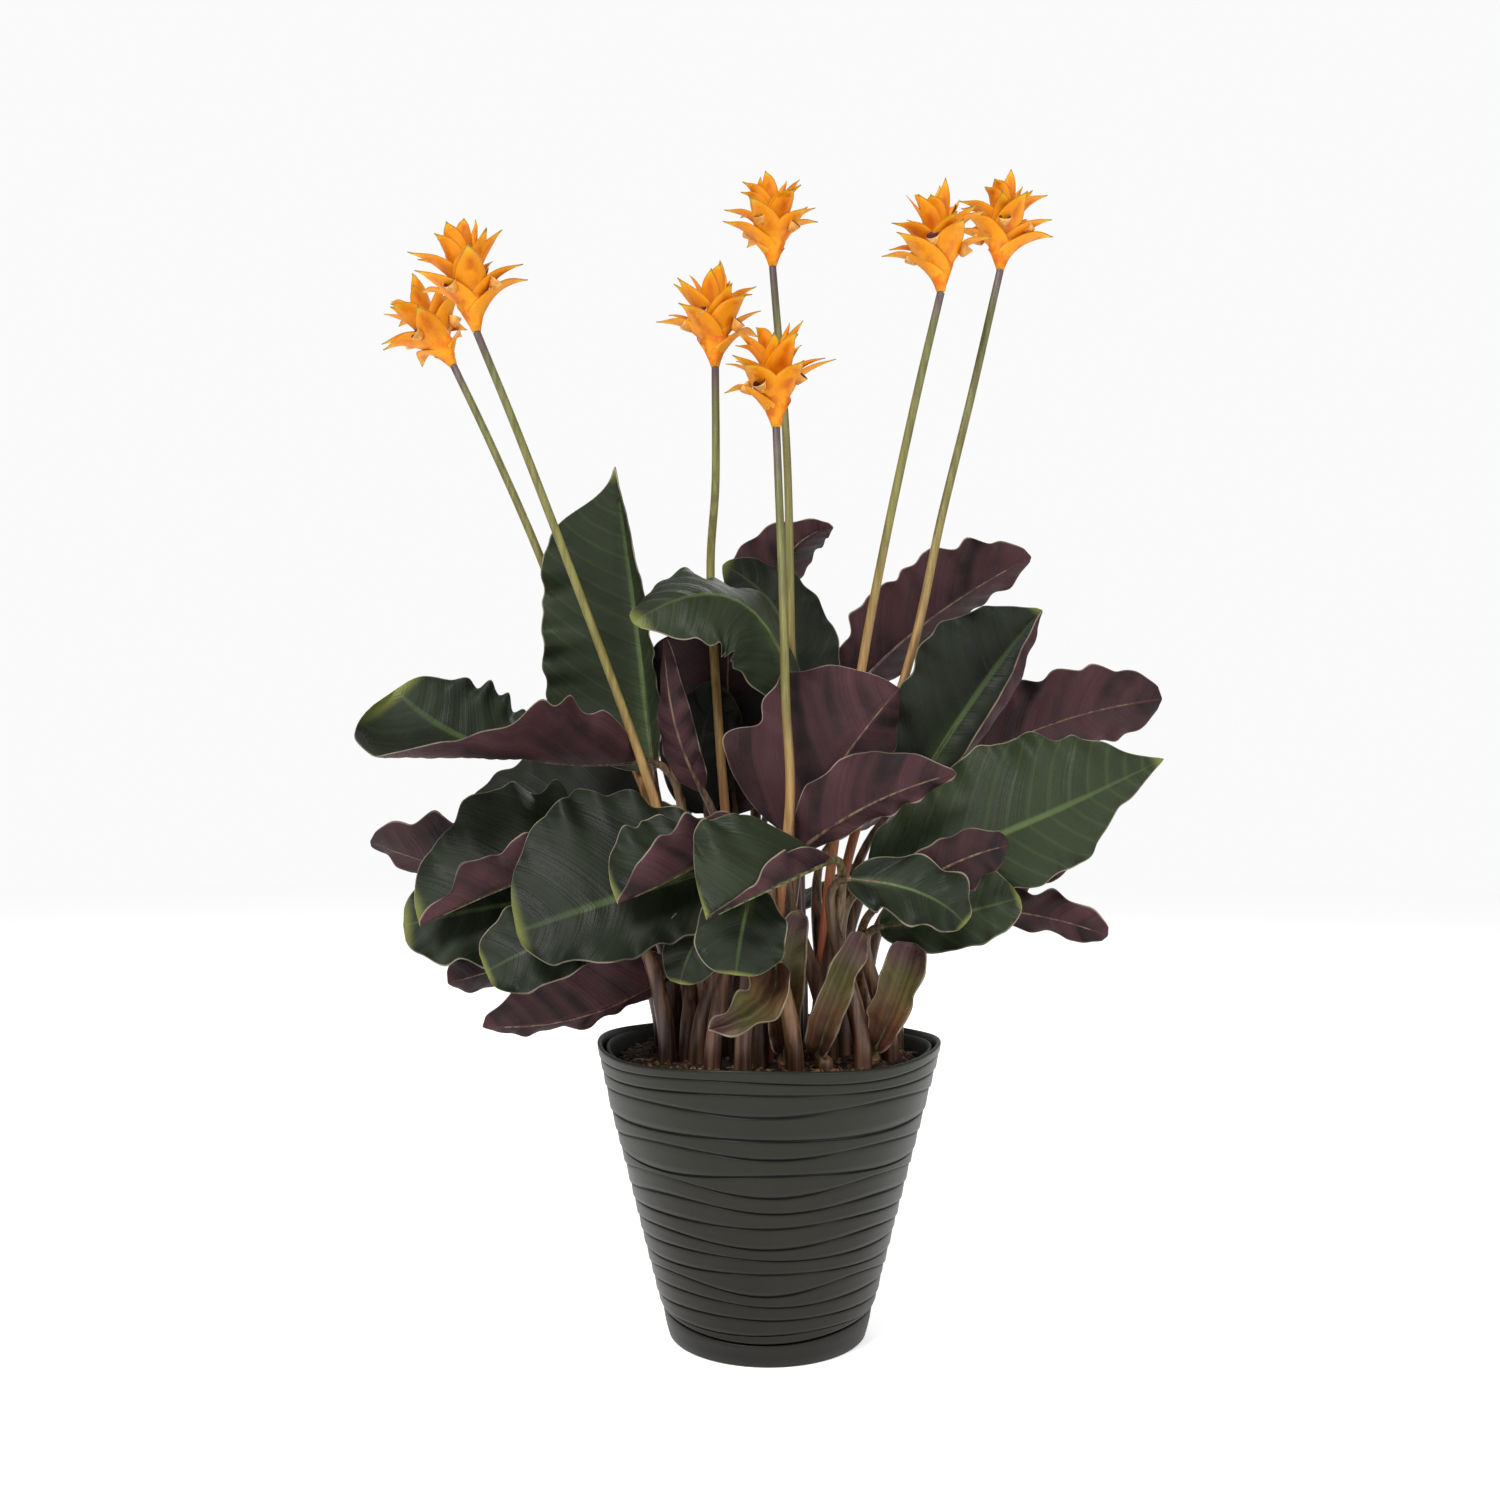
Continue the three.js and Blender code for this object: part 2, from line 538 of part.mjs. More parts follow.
// Each cell is split along its shorter diagonal, alike above and below.
function bladeFaces(upper, rows, columns) {
  const faces = [];
  const across = columns + 1;
  const under = upper.length;
  for (let i = 0; i < rows; i++) {
    for (let j = 0; j < columns; j++) {
      const a = i * across + j;
      const b = a + 1;
      const c = a + across;
      const d = c + 1;
      const parts =
        upper[a].distanceTo(upper[d]) < upper[b].distanceTo(upper[c])
          ? [[a, b, d], [a, d, c]]
          : [[a, b, c], [b, d, c]];
      for (const [p, q, r] of parts) {
        faces.push([p, q, r], [p + under, r + under, q + under]);
      }
    }
  }
  const edge = (p, q) => faces.push([q, p, p + under], [q, p + under, q + under]);
  for (let j = 0; j < columns; j++) {
    edge(j, j + 1);
    edge(rows * across + j + 1, rows * across + j);
  }
  for (let i = 0; i < rows; i++) {
    edge((i + 1) * across, i * across);
    edge(i * across + columns, (i + 1) * across + columns);
  }
  return faces;
}

// The stalk rises from its hole in the soil and runs on under the blade as its rib.
function stalk(leaf) {
  const rib = midrib(leaf);
  const base = vec(leaf.base);
  const collar = new THREE.Vector3(leaf.foot[0], leaf.foot[1], soilTop + collarHeight);
  const span = base.distanceTo(collar);
  const curve = new THREE.CubicBezierCurve3(
    collar,
    collar.clone().addScaledVector(up, stalkRise * span),
    base.clone().addScaledVector(rib.getTangent(0), -stalkLead * span),
    base,
  );
  const points = curve.getPoints(sheathRadii.length - 1);
  const radii = [footRadius, ...sheathRadii];
  points.unshift(collar.clone().setZ(soilTop - footDepth));
  const side = rib.getTangent(ribShare).cross(vec(leaf.face[0])).normalize();
  const normal = side.cross(rib.getTangent(ribShare));
  points.push(rib.getPoint(ribShare).addScaledVector(normal, -ribInset));
  radii.push(ribRadius);
  const away = base.clone().sub(collar).setZ(0);
  return bar(points, radii, stalkSides, new THREE.Vector3(-away.y, away.x, 0).normalize());
}

for (const leaf of leaves) {
  const grid = Math.max(...leaf.half) > largeHalf ? largeGrid : smallGrid;
  const ends = [bladeEndHalf, bladeTipHalf];
  addNode(leaf.name, blade(leaf, grid, bladeThickness, ends).add(stalk(leaf)), "leaf");
}

// Bracts spiral up a slim core, the lowest ones widest and most spreading.
function head(flower, base) {
  const axis = vec(flower.lean).normalize();
  const east = new THREE.Vector3(0, 1, 0).cross(axis).normalize();
  const north = axis.clone().cross(east);
  const place = (radius, height, angle) =>
    base
      .clone()
      .addScaledVector(axis, height * flower.size)
      .addScaledVector(east, radius * flower.size * Math.cos(angle))
      .addScaledVector(north, radius * flower.size * Math.sin(angle));
  let solid = bar(
    coreHeights.map((h) => place(0, headGap / flower.size + h * headHeight, 0)),
    coreRadii.map((r) => r * flower.size),
    stalkSides,
    east,
  );
  for (let i = 0; i < bractCount; i++) {
    const t = i / (bractCount - 1);
    const angle = flower.turn + i * goldenAngle;
    const between = (pair) => mix(pair[0], pair[1], t);
    const onBract = (reach, height) =>
      place(reach * headRadius, between(height) * headHeight, angle).toArray();
    const tipReach = mix(bractTip.reach[0], bractTip.reach[1], t ** bractTipEase);
    const outward = place(1, 0, angle).sub(base).divideScalar(flower.size);
    const facing = axis.clone().addScaledVector(outward, -between(bractOpening)).toArray();
    const half = between(bractHalf) * flower.size;
    const bract = {
      base: place(1, between(bractRootHeight) * headHeight, angle).toArray(),
      mid: onBract(between(bractMiddle.reach), bractMiddle.height),
      tip: onBract(tipReach, bractTip.height),
      half: [half, half],
      face: [facing, facing],
      swell: bractSwell,
      left: bractBend,
      right: bractBend,
      ruffle: [0, 1, 0],
    };
    solid = solid.add(blade(bract, bractGrid, bractThickness, bractEnds));
  }
  return solid;
}

const stemHoles = [];
for (const flower of flowers) {
  const curve = new THREE.CatmullRomCurve3(flower.path.map(vec), false, "catmullrom", 0.5);
  const points = curve.getPoints(stemSteps);
  const foot = points[0];
  const radii = points.map((p, i) => mix(stemFootRadius, stemTopRadius, i / stemSteps));
  points.unshift(foot.clone().setZ(soilTop - stemDepth));
  radii.unshift(stemFootRadius);
  addNode("stem_" + flower.name, bar(points, radii, stalkSides, new THREE.Vector3(0, 1, 0)), "stem");
  addNode("head_" + flower.name, head(flower, points[points.length - 1]), "bract");
  stemHoles.push([foot.x, foot.y]);
}

// A turned shape from a closed outline of radius and height, then waved by the given rule.
function turned(outline, wave) {
  const geometry = new THREE.LatheGeometry(
    outline.map(([r, z]) => new THREE.Vector2(r, z)),
    potSides,
  );
  geometry.rotateX(Math.PI / 2);
  geometry.deleteAttribute("normal");
  geometry.deleteAttribute("uv");
  const merged = mergeVertices(geometry, 1e-3);
  const place = merged.attributes.position;
  const points = [];
  for (let i = 0; i < place.count; i++) {
    const point = new THREE.Vector3().fromBufferAttribute(place, i);
    points.push(wave(point));
  }
  const faces = [];
  for (let i = 0; i < merged.index.count; i += 3) {
    const [a, b, c] = merged.index.array.slice(i, i + 3);
    if (a !== b && b !== c && a !== c) {
      faces.push([a, b, c]);
    }
  }
  return solidOf(points, faces);
}

// The rim swells and dips a little round its length, and the wall below it follows.
function waveRim(point) {
  const turn = Math.atan2(point.y, point.x);
  const share = THREE.MathUtils.smoothstep(point.z, ...rimWaveHeights) * rimWave;
  const radius = Math.hypot(point.x, point.y);
  const wider = 1 + (share * Math.sin(rimWidths.count * turn + rimWidths.start)) / Math.max(radius, 1);
  const lift = share * Math.sin(rimLifts.count * turn + rimLifts.start);
  return new THREE.Vector3(point.x * wider, point.y * wider, point.z + lift);
}

// The seam between pot and saucer runs in slow waves.
function waveSeam(point) {
  const turn = Math.atan2(point.y, point.x);
  const inBand = point.z > seamBand.low && point.z < seamBand.high;
  const near = inBand && Math.hypot(point.x, point.y) > seamBand.radius;
  const lift = near ? seamWave * Math.sin(seamLifts.count * turn + seamLifts.start) : 0;
  return new THREE.Vector3(point.x, point.y, point.z + lift);
}

const potWaves = (point) => waveRim(waveSeam(point));

// An upright peg that cuts a plain hole.
function peg(x, y, bottom, top, radius, sides) {
  const ends = [new THREE.Vector3(x, y, bottom), new THREE.Vector3(x, y, top)];
  return bar(ends, [radius, radius], sides, new THREE.Vector3(1, 0, 0));
}

const drainPegs = Array.from({ length: drainHoles }, (_, i) => {
  const turn = (2 * Math.PI * (i + 0.5)) / drainHoles;
  return peg(drainRing * Math.cos(turn), drainRing * Math.sin(turn), 0, cutReach, drainRadius, drainSides);
});
const cutAll = (solid, tools) => tools.reduce((left, tool) => left.subtract(tool), solid);

const saucer = turned(
  [[0, 0], [48.4, 0], [49.2, 0.8], [52.2, 13.6], [50.4, 13.6], [47.2, 2], [0, 2]],
  waveSeam,
);
addNode("drip_saucer", saucer, "pot");

const outerPot = turned(
  [
    [0, 2.3], [46.2, 2.3], [49, 14.4], [52.4, 14.8], [69.6, 83], [84, 138], [85.5, 143.4],
    [85.2, 144.5], [83.6, 144.3], [81.9, 138], [47, 6.5], [45, 4.6], [0, 4.6],
  ],
  potWaves,
);
addNode("outer_pot", cutAll(outerPot, drainPegs), "pot");

const liner = turned(
  [
    [0, 4.9], [43.8, 4.9], [79.6, 137.4], [81.2, 140.6], [81.2, 142],
    [79.4, 142], [78.2, 137.4], [42.6, 6.3], [0, 6.3],
  ],
  waveRim,
);
addNode("inner_pot", cutAll(liner, drainPegs), "liner");

// Soil fills the liner, mounded a little towards the plant, with a plain hole for each foot.
const soilShape = turned(
  [
    [0, 6.6], [42.2, 6.6], [76.7, 133.8], [66, soilTop + soilRise],
    [0, soilTop + soilRise],
  ],
  (point) => (Math.hypot(point.x, point.y) > soilEdge ? waveRim(point) : point),
);
const holes = [
  ...leaves.map((leaf) => [...leaf.foot, footRadius, footDepth]),
  ...stemHoles.map((place) => [...place, stemFootRadius, stemDepth]),
].map(([x, y, radius, depth]) =>
  peg(x, y, soilTop - depth - gap, soilTop + cutReach, radius * holeSlack, holeSides),
);
addNode("soil", cutAll(soilShape, holes), "soil");

export default group;
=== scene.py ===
import math
import random

import bpy
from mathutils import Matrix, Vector, noise


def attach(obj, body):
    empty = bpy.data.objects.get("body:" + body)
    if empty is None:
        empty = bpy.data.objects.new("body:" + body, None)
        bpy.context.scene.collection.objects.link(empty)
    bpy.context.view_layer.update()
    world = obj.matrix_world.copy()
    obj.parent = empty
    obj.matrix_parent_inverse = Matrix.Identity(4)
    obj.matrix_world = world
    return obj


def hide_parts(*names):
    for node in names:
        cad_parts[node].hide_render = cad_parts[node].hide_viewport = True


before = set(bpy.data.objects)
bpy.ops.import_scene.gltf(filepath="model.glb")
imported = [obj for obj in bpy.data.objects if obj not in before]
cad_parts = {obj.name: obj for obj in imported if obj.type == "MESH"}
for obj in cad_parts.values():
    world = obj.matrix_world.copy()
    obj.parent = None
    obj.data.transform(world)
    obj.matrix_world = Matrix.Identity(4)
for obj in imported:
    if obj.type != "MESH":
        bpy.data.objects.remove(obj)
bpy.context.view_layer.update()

# Eternal flame calathea in a layered plastic pot. Tables are in millimetres, meshes in metres.
# +Z is up, the front faces -Y, and the origin is the middle of the saucer's underside.
mm = 0.001
body = "root"
soilTop = 137
goldenAngle = 2.39996


def mix(a, b, t):
    return a + (b - a) * t


def smooth(low, high, x):
    t = min(max((x - low) / (high - low), 0), 1)
    return t * t * (3 - 2 * t)


def readAlong(table, x):
    # straight line between the rows of (x, value)
    for (x0, y0), (x1, y1) in zip(table, table[1:]):
        if x <= x1:
            return mix(y0, y1, max(x - x0, 0) / (x1 - x0))
    return table[-1][1]


def colour(red, green, blue):
    # a colour as seen on a screen, 0 to 255, to the shader's own scale
    def linear(c):
        return c / 12.92 if c < 0.04045 else ((c + 0.055) / 1.055) ** 2.4

    return (linear(red / 255), linear(green / 255), linear(blue / 255), 1.0)


def place(tree, kind, inputs=None, **settings):
    # adds a node. An input is another node's socket or a plain value.
    node = tree.nodes.new(kind)
    for key, value in settings.items():
        setattr(node, key, value)
    for key, value in (inputs or {}).items():
        if isinstance(value, bpy.types.NodeSocket):
            tree.links.new(value, node.inputs[key])
        else:
            node.inputs[key].default_value = value
    return node


def result(tree, kind, inputs=None, **settings):
    return place(tree, kind, inputs, **settings).outputs[0]


def calculate(tree, operation, *values, clamp=False):
    inputs = dict(enumerate(values))
    return result(tree, "ShaderNodeMath", inputs, operation=operation, use_clamp=clamp)


def multiply(tree, first, *others):
    for other in others:
        first = calculate(tree, "MULTIPLY", first, other)
    return first


def blendColours(tree, factor, a, b, kind="MIX"):
    settings = {"data_type": "RGBA", "blend_type": kind}
    return place(tree, "ShaderNodeMix", {0: factor, 6: a, 7: b}, **settings).outputs[2]


def paint(tree, tint, *layers):
    # layers from the lowest up: how much each covers, and its colour
    for cover, layerTint in layers:
        tint = blendColours(tree, cover, tint, layerTint)
    return tint


def darken(tree, tint, shade):
    return blendColours(tree, 1.0, tint, shade, "MULTIPLY")


def readValue(tree, name):
    return place(tree, "ShaderNodeAttribute", attribute_name=name).outputs["Fac"]


def step(tree, value, low, high, bottom=0.0, top=1.0):
    # eased change from bottom to top while the value goes from low to high
    inputs = {"Value": value, "From Min": low, "From Max": high, "To Min": bottom, "To Max": top}
    return result(tree, "ShaderNodeMapRange", inputs, interpolation_type="SMOOTHSTEP")


def lineNoise(tree, spot, scale, detail=2.0):
    inputs = {"W": spot, "Scale": scale, "Detail": detail}
    return place(tree, "ShaderNodeTexNoise", inputs, noise_dimensions="1D").outputs["Fac"]


def colourRamp(tree, value, stops):
    # stops: a place from 0 to 1, then the colour as seen on a screen
    node = place(tree, "ShaderNodeValToRGB", {0: value})
    ramp = node.color_ramp
    while len(ramp.elements) < len(stops):
        ramp.elements.new(0.5)
    for element, (position, tint) in zip(ramp.elements, stops):
        element.position = position
        element.color = colour(*tint)
    return node.outputs[0]


def newGroup(name, inputs, outputs, kind="ShaderNodeTree"):
    # an input is given by its default number, or by its socket's type where it has none
    tree = bpy.data.node_groups.new(name, kind)
    for label, value in inputs.items():
        socketType = value if isinstance(value, str) else {int: "Int", float: "Float"}[type(value)]
        socket = tree.interface.new_socket(label, in_out="INPUT", socket_type="NodeSocket" + socketType)
        if socketType != value:
            socket.default_value = value
    for label, socketType in outputs.items():
        tree.interface.new_socket(label, in_out="OUTPUT", socket_type="NodeSocket" + socketType)
    return tree, tree.nodes.new("NodeGroupInput").outputs, tree.nodes.new("NodeGroupOutput")


def finishGroup(tree, end, **results):
    for label, source in results.items():
        tree.links.new(source, end.inputs[label])
    return tree


def newMaterial(name, roughness=0.5, **values):
    material = bpy.data.materials.new(name)
    material.use_nodes = True
    tree = material.node_tree
    shader = tree.nodes["Principled BSDF"]
    shader.inputs["Roughness"].default_value = roughness
    for key, value in values.items():
        shader.inputs[key.replace("_", " ")].default_value = value
    return material, tree, shader


def finishMaterial(tree, shader, tint, height, strength, distance):
    # the colour, and relief from a height
    inputs = {"Height": height, "Strength": strength, "Distance": distance}
    tree.links.new(result(tree, "ShaderNodeBump", inputs), shader.inputs["Normal"])
    tree.links.new(tint, shader.inputs["Base Color"])


def makeGrainGroup():
    # fine uneven grain in object space: a soft mask for colour, and a height for relief
    inputs = {"Vector": "Vector", "Coarse": 60.0, "Fine": 900.0}
    tree, start, end = newGroup("surfaceGrain", inputs, {"Mask": "Float", "Height": "Float"})
    inputs = {"Vector": start["Vector"], "Scale": start["Coarse"], "Detail": 4.0}
    coarse = place(tree, "ShaderNodeTexNoise", inputs).outputs["Fac"]
    inputs = {"Vector": start["Vector"], "Scale": start["Fine"], "Detail": 2.0}
    fine = place(tree, "ShaderNodeTexNoise", inputs).outputs["Fac"]
    height = calculate(tree, "ADD", multiply(tree, coarse, 0.5), fine)
    return finishGroup(tree, end, Mask=step(tree, coarse, 0.35, 0.65), Height=height)


def makeMarginGroup():
    # a pale or dark line of the given width along an edge, from the distance to it in millimetres
    tree, start, end = newGroup("marginLine", {"Distance": 5.0, "Width": 0.8}, {"Mask": "Float"})
    share = calculate(tree, "DIVIDE", start["Distance"], start["Width"])
    return finishGroup(tree, end, Mask=step(tree, share, 0.6, 1.3, 1.0, 0.0))


def makeVeinGroup():
    # side veins numbered from the leaf's base: broad soft stripes, fine lines between, and the veins
    outputs = {"Stripes": "Float", "Lines": "Float", "Veins": "Float"}
    tree, start, end = newGroup("sideVeins", {"Number": 0.0, "Seed": 0.0}, outputs)
    moved = calculate(tree, "ADD", start["Number"], start["Seed"])
    away = calculate(tree, "PINGPONG", start["Number"], 0.5)
    return finishGroup(
        tree,
        end,
        Stripes=step(tree, lineNoise(tree, moved, 0.55, 1.0), 0.38, 0.6),
        Lines=step(tree, lineNoise(tree, moved, 6.0), 0.35, 0.7),
        Veins=step(tree, away, 0.03, 0.14, 1.0, 0.0),
    )


grainGroup = makeGrainGroup()
marginGroup = makeMarginGroup()
veinGroup = makeVeinGroup()


def useGroup(tree, group, **inputs):
    return place(tree, "ShaderNodeGroup", inputs, node_tree=group).outputs


def startMaterial(name, look, roughness=0.5):
    # a material with the look's roughness and shine, its place in object space, and its grain
    values = {"Specular_IOR_Level": look["specular"]} if "specular" in look else {}
    material, tree, shader = newMaterial(name, look.get("roughness", roughness), **values)
    where = place(tree, "ShaderNodeTexCoord").outputs["Object"]
    where = result(tree, "ShaderNodeMapping", {"Vector": where, "Scale": look.get("stretch", (1, 1, 1))})
    coarse, fine = look["grain"]
    spread = useGroup(tree, grainGroup, Vector=where, Coarse=coarse, Fine=fine)
    return material, tree, shader, where, spread


def marginMask(tree, width):
    return useGroup(tree, marginGroup, Distance=readValue(tree, "edge"), Width=width)["Mask"]


# in every look, grain: the scale of the coarse and of the fine grain. relief: its strength and depth.
# stretch: how the grain is drawn out. length: colours from the foot, or the root, to the tip.
leafLook = {
    "grain": (34.0, 1400.0),
    "relief": (0.35, 0.0004),
    "specular": 0.2,
    "roughness": 0.46,
    "marginWidth": 0.55,
    # how much each mark shows
    "upper": {"stripes": 0.5, "grain": 0.35, "lines": 0.12, "tone": 0.5, "veins": 0.1,
              "glow": 0.4, "tip": 0.6},
    "under": {"stripes": 0.5, "grain": 0.5, "lines": 0.2, "rib": 0.5},
    "streaks": 0.45,
    # from the midrib outwards, as shares of the half width: where a mark begins to fade, and where it ends
    "rib": (0.015, 0.06),
    "glow": (0.02, 0.3),
    "underRib": (0.01, 0.07),
    # the last stretch of the blade that turns yellow
    "tip": (0.94, 1.0),
    "deepGreen": colour(12, 17, 12),
    "freshGreen": colour(39, 46, 31),
    "brightGreen": colour(53, 63, 38),
    "ribGreen": colour(88, 108, 62),
    "deepMaroon": colour(26, 14, 16),
    "mauve": colour(84, 52, 56),
    "ribRed": colour(92, 52, 50),
    "paleMargin": colour(160, 148, 128),
    "yellowTip": colour(140, 146, 70),
    "shade": colour(13, 11, 11),
    "sheath": [(0.0, (84, 44, 36)), (0.35, (112, 78, 54)), (0.7, (98, 92, 52)), (0.95, (96, 62, 68))],
}


def upperTint(tree, veins, mask, along, across):
    # deep green with soft brighter stripes, faint side veins, a bright rib and a yellow tip
    look = leafLook
    share = look["upper"]
    tone = readValue(tree, "tone")
    rib = multiply(tree, step(tree, across, *look["rib"], 1.0, 0.0), step(tree, along, 0.1, 0.95, 1.0, 0.25))
    glow = step(tree, across, *look["glow"], share["glow"], 0.0)
    glow = multiply(tree, glow, step(tree, along, 0.0, 0.5, 1.0, 0.0))
    return paint(
        tree,
        look["deepGreen"],
        (multiply(tree, veins["Stripes"], share["stripes"]), look["freshGreen"]),
        (multiply(tree, mask, share["grain"]), look["freshGreen"]),
        (multiply(tree, veins["Lines"], share["lines"]), look["freshGreen"]),
        (multiply(tree, tone, share["tone"]), look["brightGreen"]),
        (multiply(tree, veins["Veins"], tone, share["veins"]), look["ribGreen"]),
        (calculate(tree, "ADD", rib, glow, clamp=True), look["ribGreen"]),
        (step(tree, along, *look["tip"], 0.0, share["tip"]), look["yellowTip"]),
    )


def underTint(tree, veins, mask, across):
    # maroon to mauve, darker between the veins, a redder rib
    look = leafLook
    share = look["under"]
    return paint(
        tree,
        look["deepMaroon"],
        (multiply(tree, veins["Stripes"], share["stripes"]), look["mauve"]),
        (multiply(tree, mask, share["grain"]), look["mauve"]),
        (multiply(tree, veins["Lines"], share["lines"]), look["deepMaroon"]),
        (step(tree, across, *look["underRib"], share["rib"], 0.0), look["ribRed"]),
    )


def sheathTint(tree, along):
    # the broad sheath of a stalk: red brown, then yellow green, then mauve, with streaks along it
    spot = calculate(tree, "ADD", readValue(tree, "across"), readValue(tree, "leafSeed"))
    streaks = step(tree, lineNoise(tree, spot, 4.0, 3.0), 0.3, 0.7, leafLook["streaks"], 0.0)
    return paint(tree, colourRamp(tree, along, leafLook["sheath"]), (streaks, leafLook["deepMaroon"]))


def makeLeafMaterial():
    # green above and maroon beneath, a sheath where the leaf is one, a pale margin, and shade
    look = leafLook
    material, tree, shader, _, spread = startMaterial("leafBlade", look)
    along = readValue(tree, "along")
    across = calculate(tree, "ABSOLUTE", readValue(tree, "across"))
    under = readValue(tree, "under")
    mask = spread["Mask"]
    numbers = {"Number": readValue(tree, "veinNumber"), "Seed": readValue(tree, "leafSeed")}
    veins = useGroup(tree, veinGroup, **numbers)
    pale = multiply(tree, marginMask(tree, look["marginWidth"]), step(tree, mask, 0.1, 0.9, 0.2, 0.65))
    tint = paint(
        tree,
        upperTint(tree, veins, mask, along, across),
        (under, underTint(tree, veins, mask, across)),
        (readValue(tree, "sheath"), sheathTint(tree, along)),
        (pale, look["paleMargin"]),
        (readValue(tree, "shade"), look["shade"]),
    )
    sheen = calculate(tree, "MULTIPLY_ADD", veins["Stripes"], 0.12, look["roughness"])
    sheen = calculate(tree, "ADD", sheen, multiply(tree, under, 0.14))
    tree.links.new(sheen, shader.inputs["Roughness"])
    height = calculate(tree, "ADD", spread["Height"], multiply(tree, veins["Lines"], 0.8))
    finishMaterial(tree, shader, tint, height, *look["relief"])
    return material


stalkLook = {
    "stretch": (1, 1, 0.05),
    "grain": (420.0, 1500.0),
    "relief": (0.4, 0.0004),
    "roughness": 0.42,
    "maroon": [(0.0, (72, 38, 30)), (0.3, (88, 50, 40)), (0.75, (100, 72, 50)), (1.0, (86, 54, 46))],
    "yellow": [(0.0, (98, 56, 40)), (0.35, (138, 96, 60)), (0.8, (128, 120, 68)), (1.0, (102, 110, 62))],
    "dark": colour(162, 144, 138),
    "tanHighlight": colour(176, 150, 112),
    "tanHighlightShare": 0.14,
}


def makeStalkMaterial():
    # fleshy stalks: maroon brown at the foot, light brown or yellow green above, with long streaks, the
    # light ones carrying a painted tan highlight
    look = stalkLook
    material, tree, shader, _, streak = startMaterial("leafStalk", look)
    height = readValue(tree, "up")
    maroon, yellow = (colourRamp(tree, height, look[key]) for key in ("maroon", "yellow"))
    tint = blendColours(tree, readValue(tree, "tone"), maroon, yellow)
    # a painted highlight of tan over the light streaks, the other streaks darker
    tanHighlight = blendColours(tree, look["tanHighlightShare"], tint, look["tanHighlight"])
    tint = blendColours(tree, streak["Mask"], darken(tree, tint, look["dark"]), tanHighlight)
    finishMaterial(tree, shader, tint, streak["Height"], *look["relief"])
    return material


stemLook = {
    "stretch": (1, 1, 0.02),
    "grain": (420.0, 1800.0),
    "relief": (0.35, 0.0003),
    "length": [
        (0.0, (128, 58, 42)), (0.16, (166, 92, 58)), (0.36, (174, 132, 80)),
        (0.62, (128, 122, 62)), (0.93, (108, 110, 62)), (0.99, (96, 78, 82)),
    ],
    "dark": colour(206, 200, 190),
}
# florets: orange runs to a pale lip, then dark red and near black down inside the cup, which is painted
# shade
throatLook = {
    "grain": (300.0, 1800.0),
    "relief": (0.3, 0.0003),
    "length": [
        (0.0, (214, 120, 20)), (0.42, (238, 176, 80)), (0.5, (236, 198, 130)),
        # down inside the cup: painted shade
        (0.6, (112, 28, 8)), (1.0, (56, 10, 5)),
    ],
    "dark": colour(214, 200, 190),
}


def makeLengthMaterial(name, roughness, look, value):
    # one colour after another along the piece, darker between the grain
    material, tree, shader, _, streak = startMaterial(name, look, roughness)
    tint = colourRamp(tree, readValue(tree, value), look["length"])
    tint = blendColours(tree, streak["Mask"], darken(tree, tint, look["dark"]), tint)
    finishMaterial(tree, shader, tint, streak["Height"], *look["relief"])
    return material


bractLook = {
    "grain": (150.0, 1600.0),
    "relief": (0.3, 0.0004),
    "specular": 0.3,
    "rimWidth": 0.3,
    "rimAndShadeShare": 0.6,
    "deepShare": 0.75,
    "length": [
        (0.0, (208, 158, 34)), (0.3, (234, 146, 2)), (0.78, (234, 146, 2)),
        (0.92, (234, 178, 24)), (1.0, (112, 112, 48)),
    ],
    "deep": colour(196, 84, 0),
    "line": colour(150, 100, 22),
}


def makeBractMaterial():
    # orange with deeper patches inside, a yellow foot, a greenish tip, and a thin brown edge line that is
    # partly its own rim and partly painted shade between overlapping bracts
    look = bractLook
    material, tree, shader, _, spread = startMaterial("bract", look)
    along = readValue(tree, "along")
    across = readValue(tree, "across")
    middle = step(tree, calculate(tree, "ABSOLUTE", across), 0.0, 0.7, look["deepShare"], 0.0)
    ends = (step(tree, along, 0.7, 0.9, 1.0, 0.0), step(tree, along, 0.1, 0.35))
    inner = multiply(tree, middle, spread["Mask"], *ends)
    # the brown edge line: partly the bract's own rim, partly painted shade where bracts overlap
    rim = multiply(tree, marginMask(tree, look["rimWidth"]), look["rimAndShadeShare"])
    tint = paint(tree, colourRamp(tree, along, look["length"]), (inner, look["deep"]), (rim, look["line"]))
    height = calculate(tree, "ADD", multiply(tree, lineNoise(tree, across, 7.0), 1.5), spread["Height"])
    finishMaterial(tree, shader, tint, height, *look["relief"])
    return material


potLook = {
    "grain": (22.0, 2200.0),
    "relief": (0.25, 0.00015),
    "specular": 0.26,
    # lit: the upper colour as lit. low: darker and browner, painted shade at the foot
    "lit": colour(28, 28, 19),
    "low": colour(20, 17, 8),
    "paintedShade": colour(7, 7, 6),
    "dust": colour(58, 57, 49),
    "dustShare": 0.12,
    # between these heights, in metres, the darker, browner foot of painted shade gives way to the lit colour
    "footShadeUpTo": (0.03, 0.13),
}


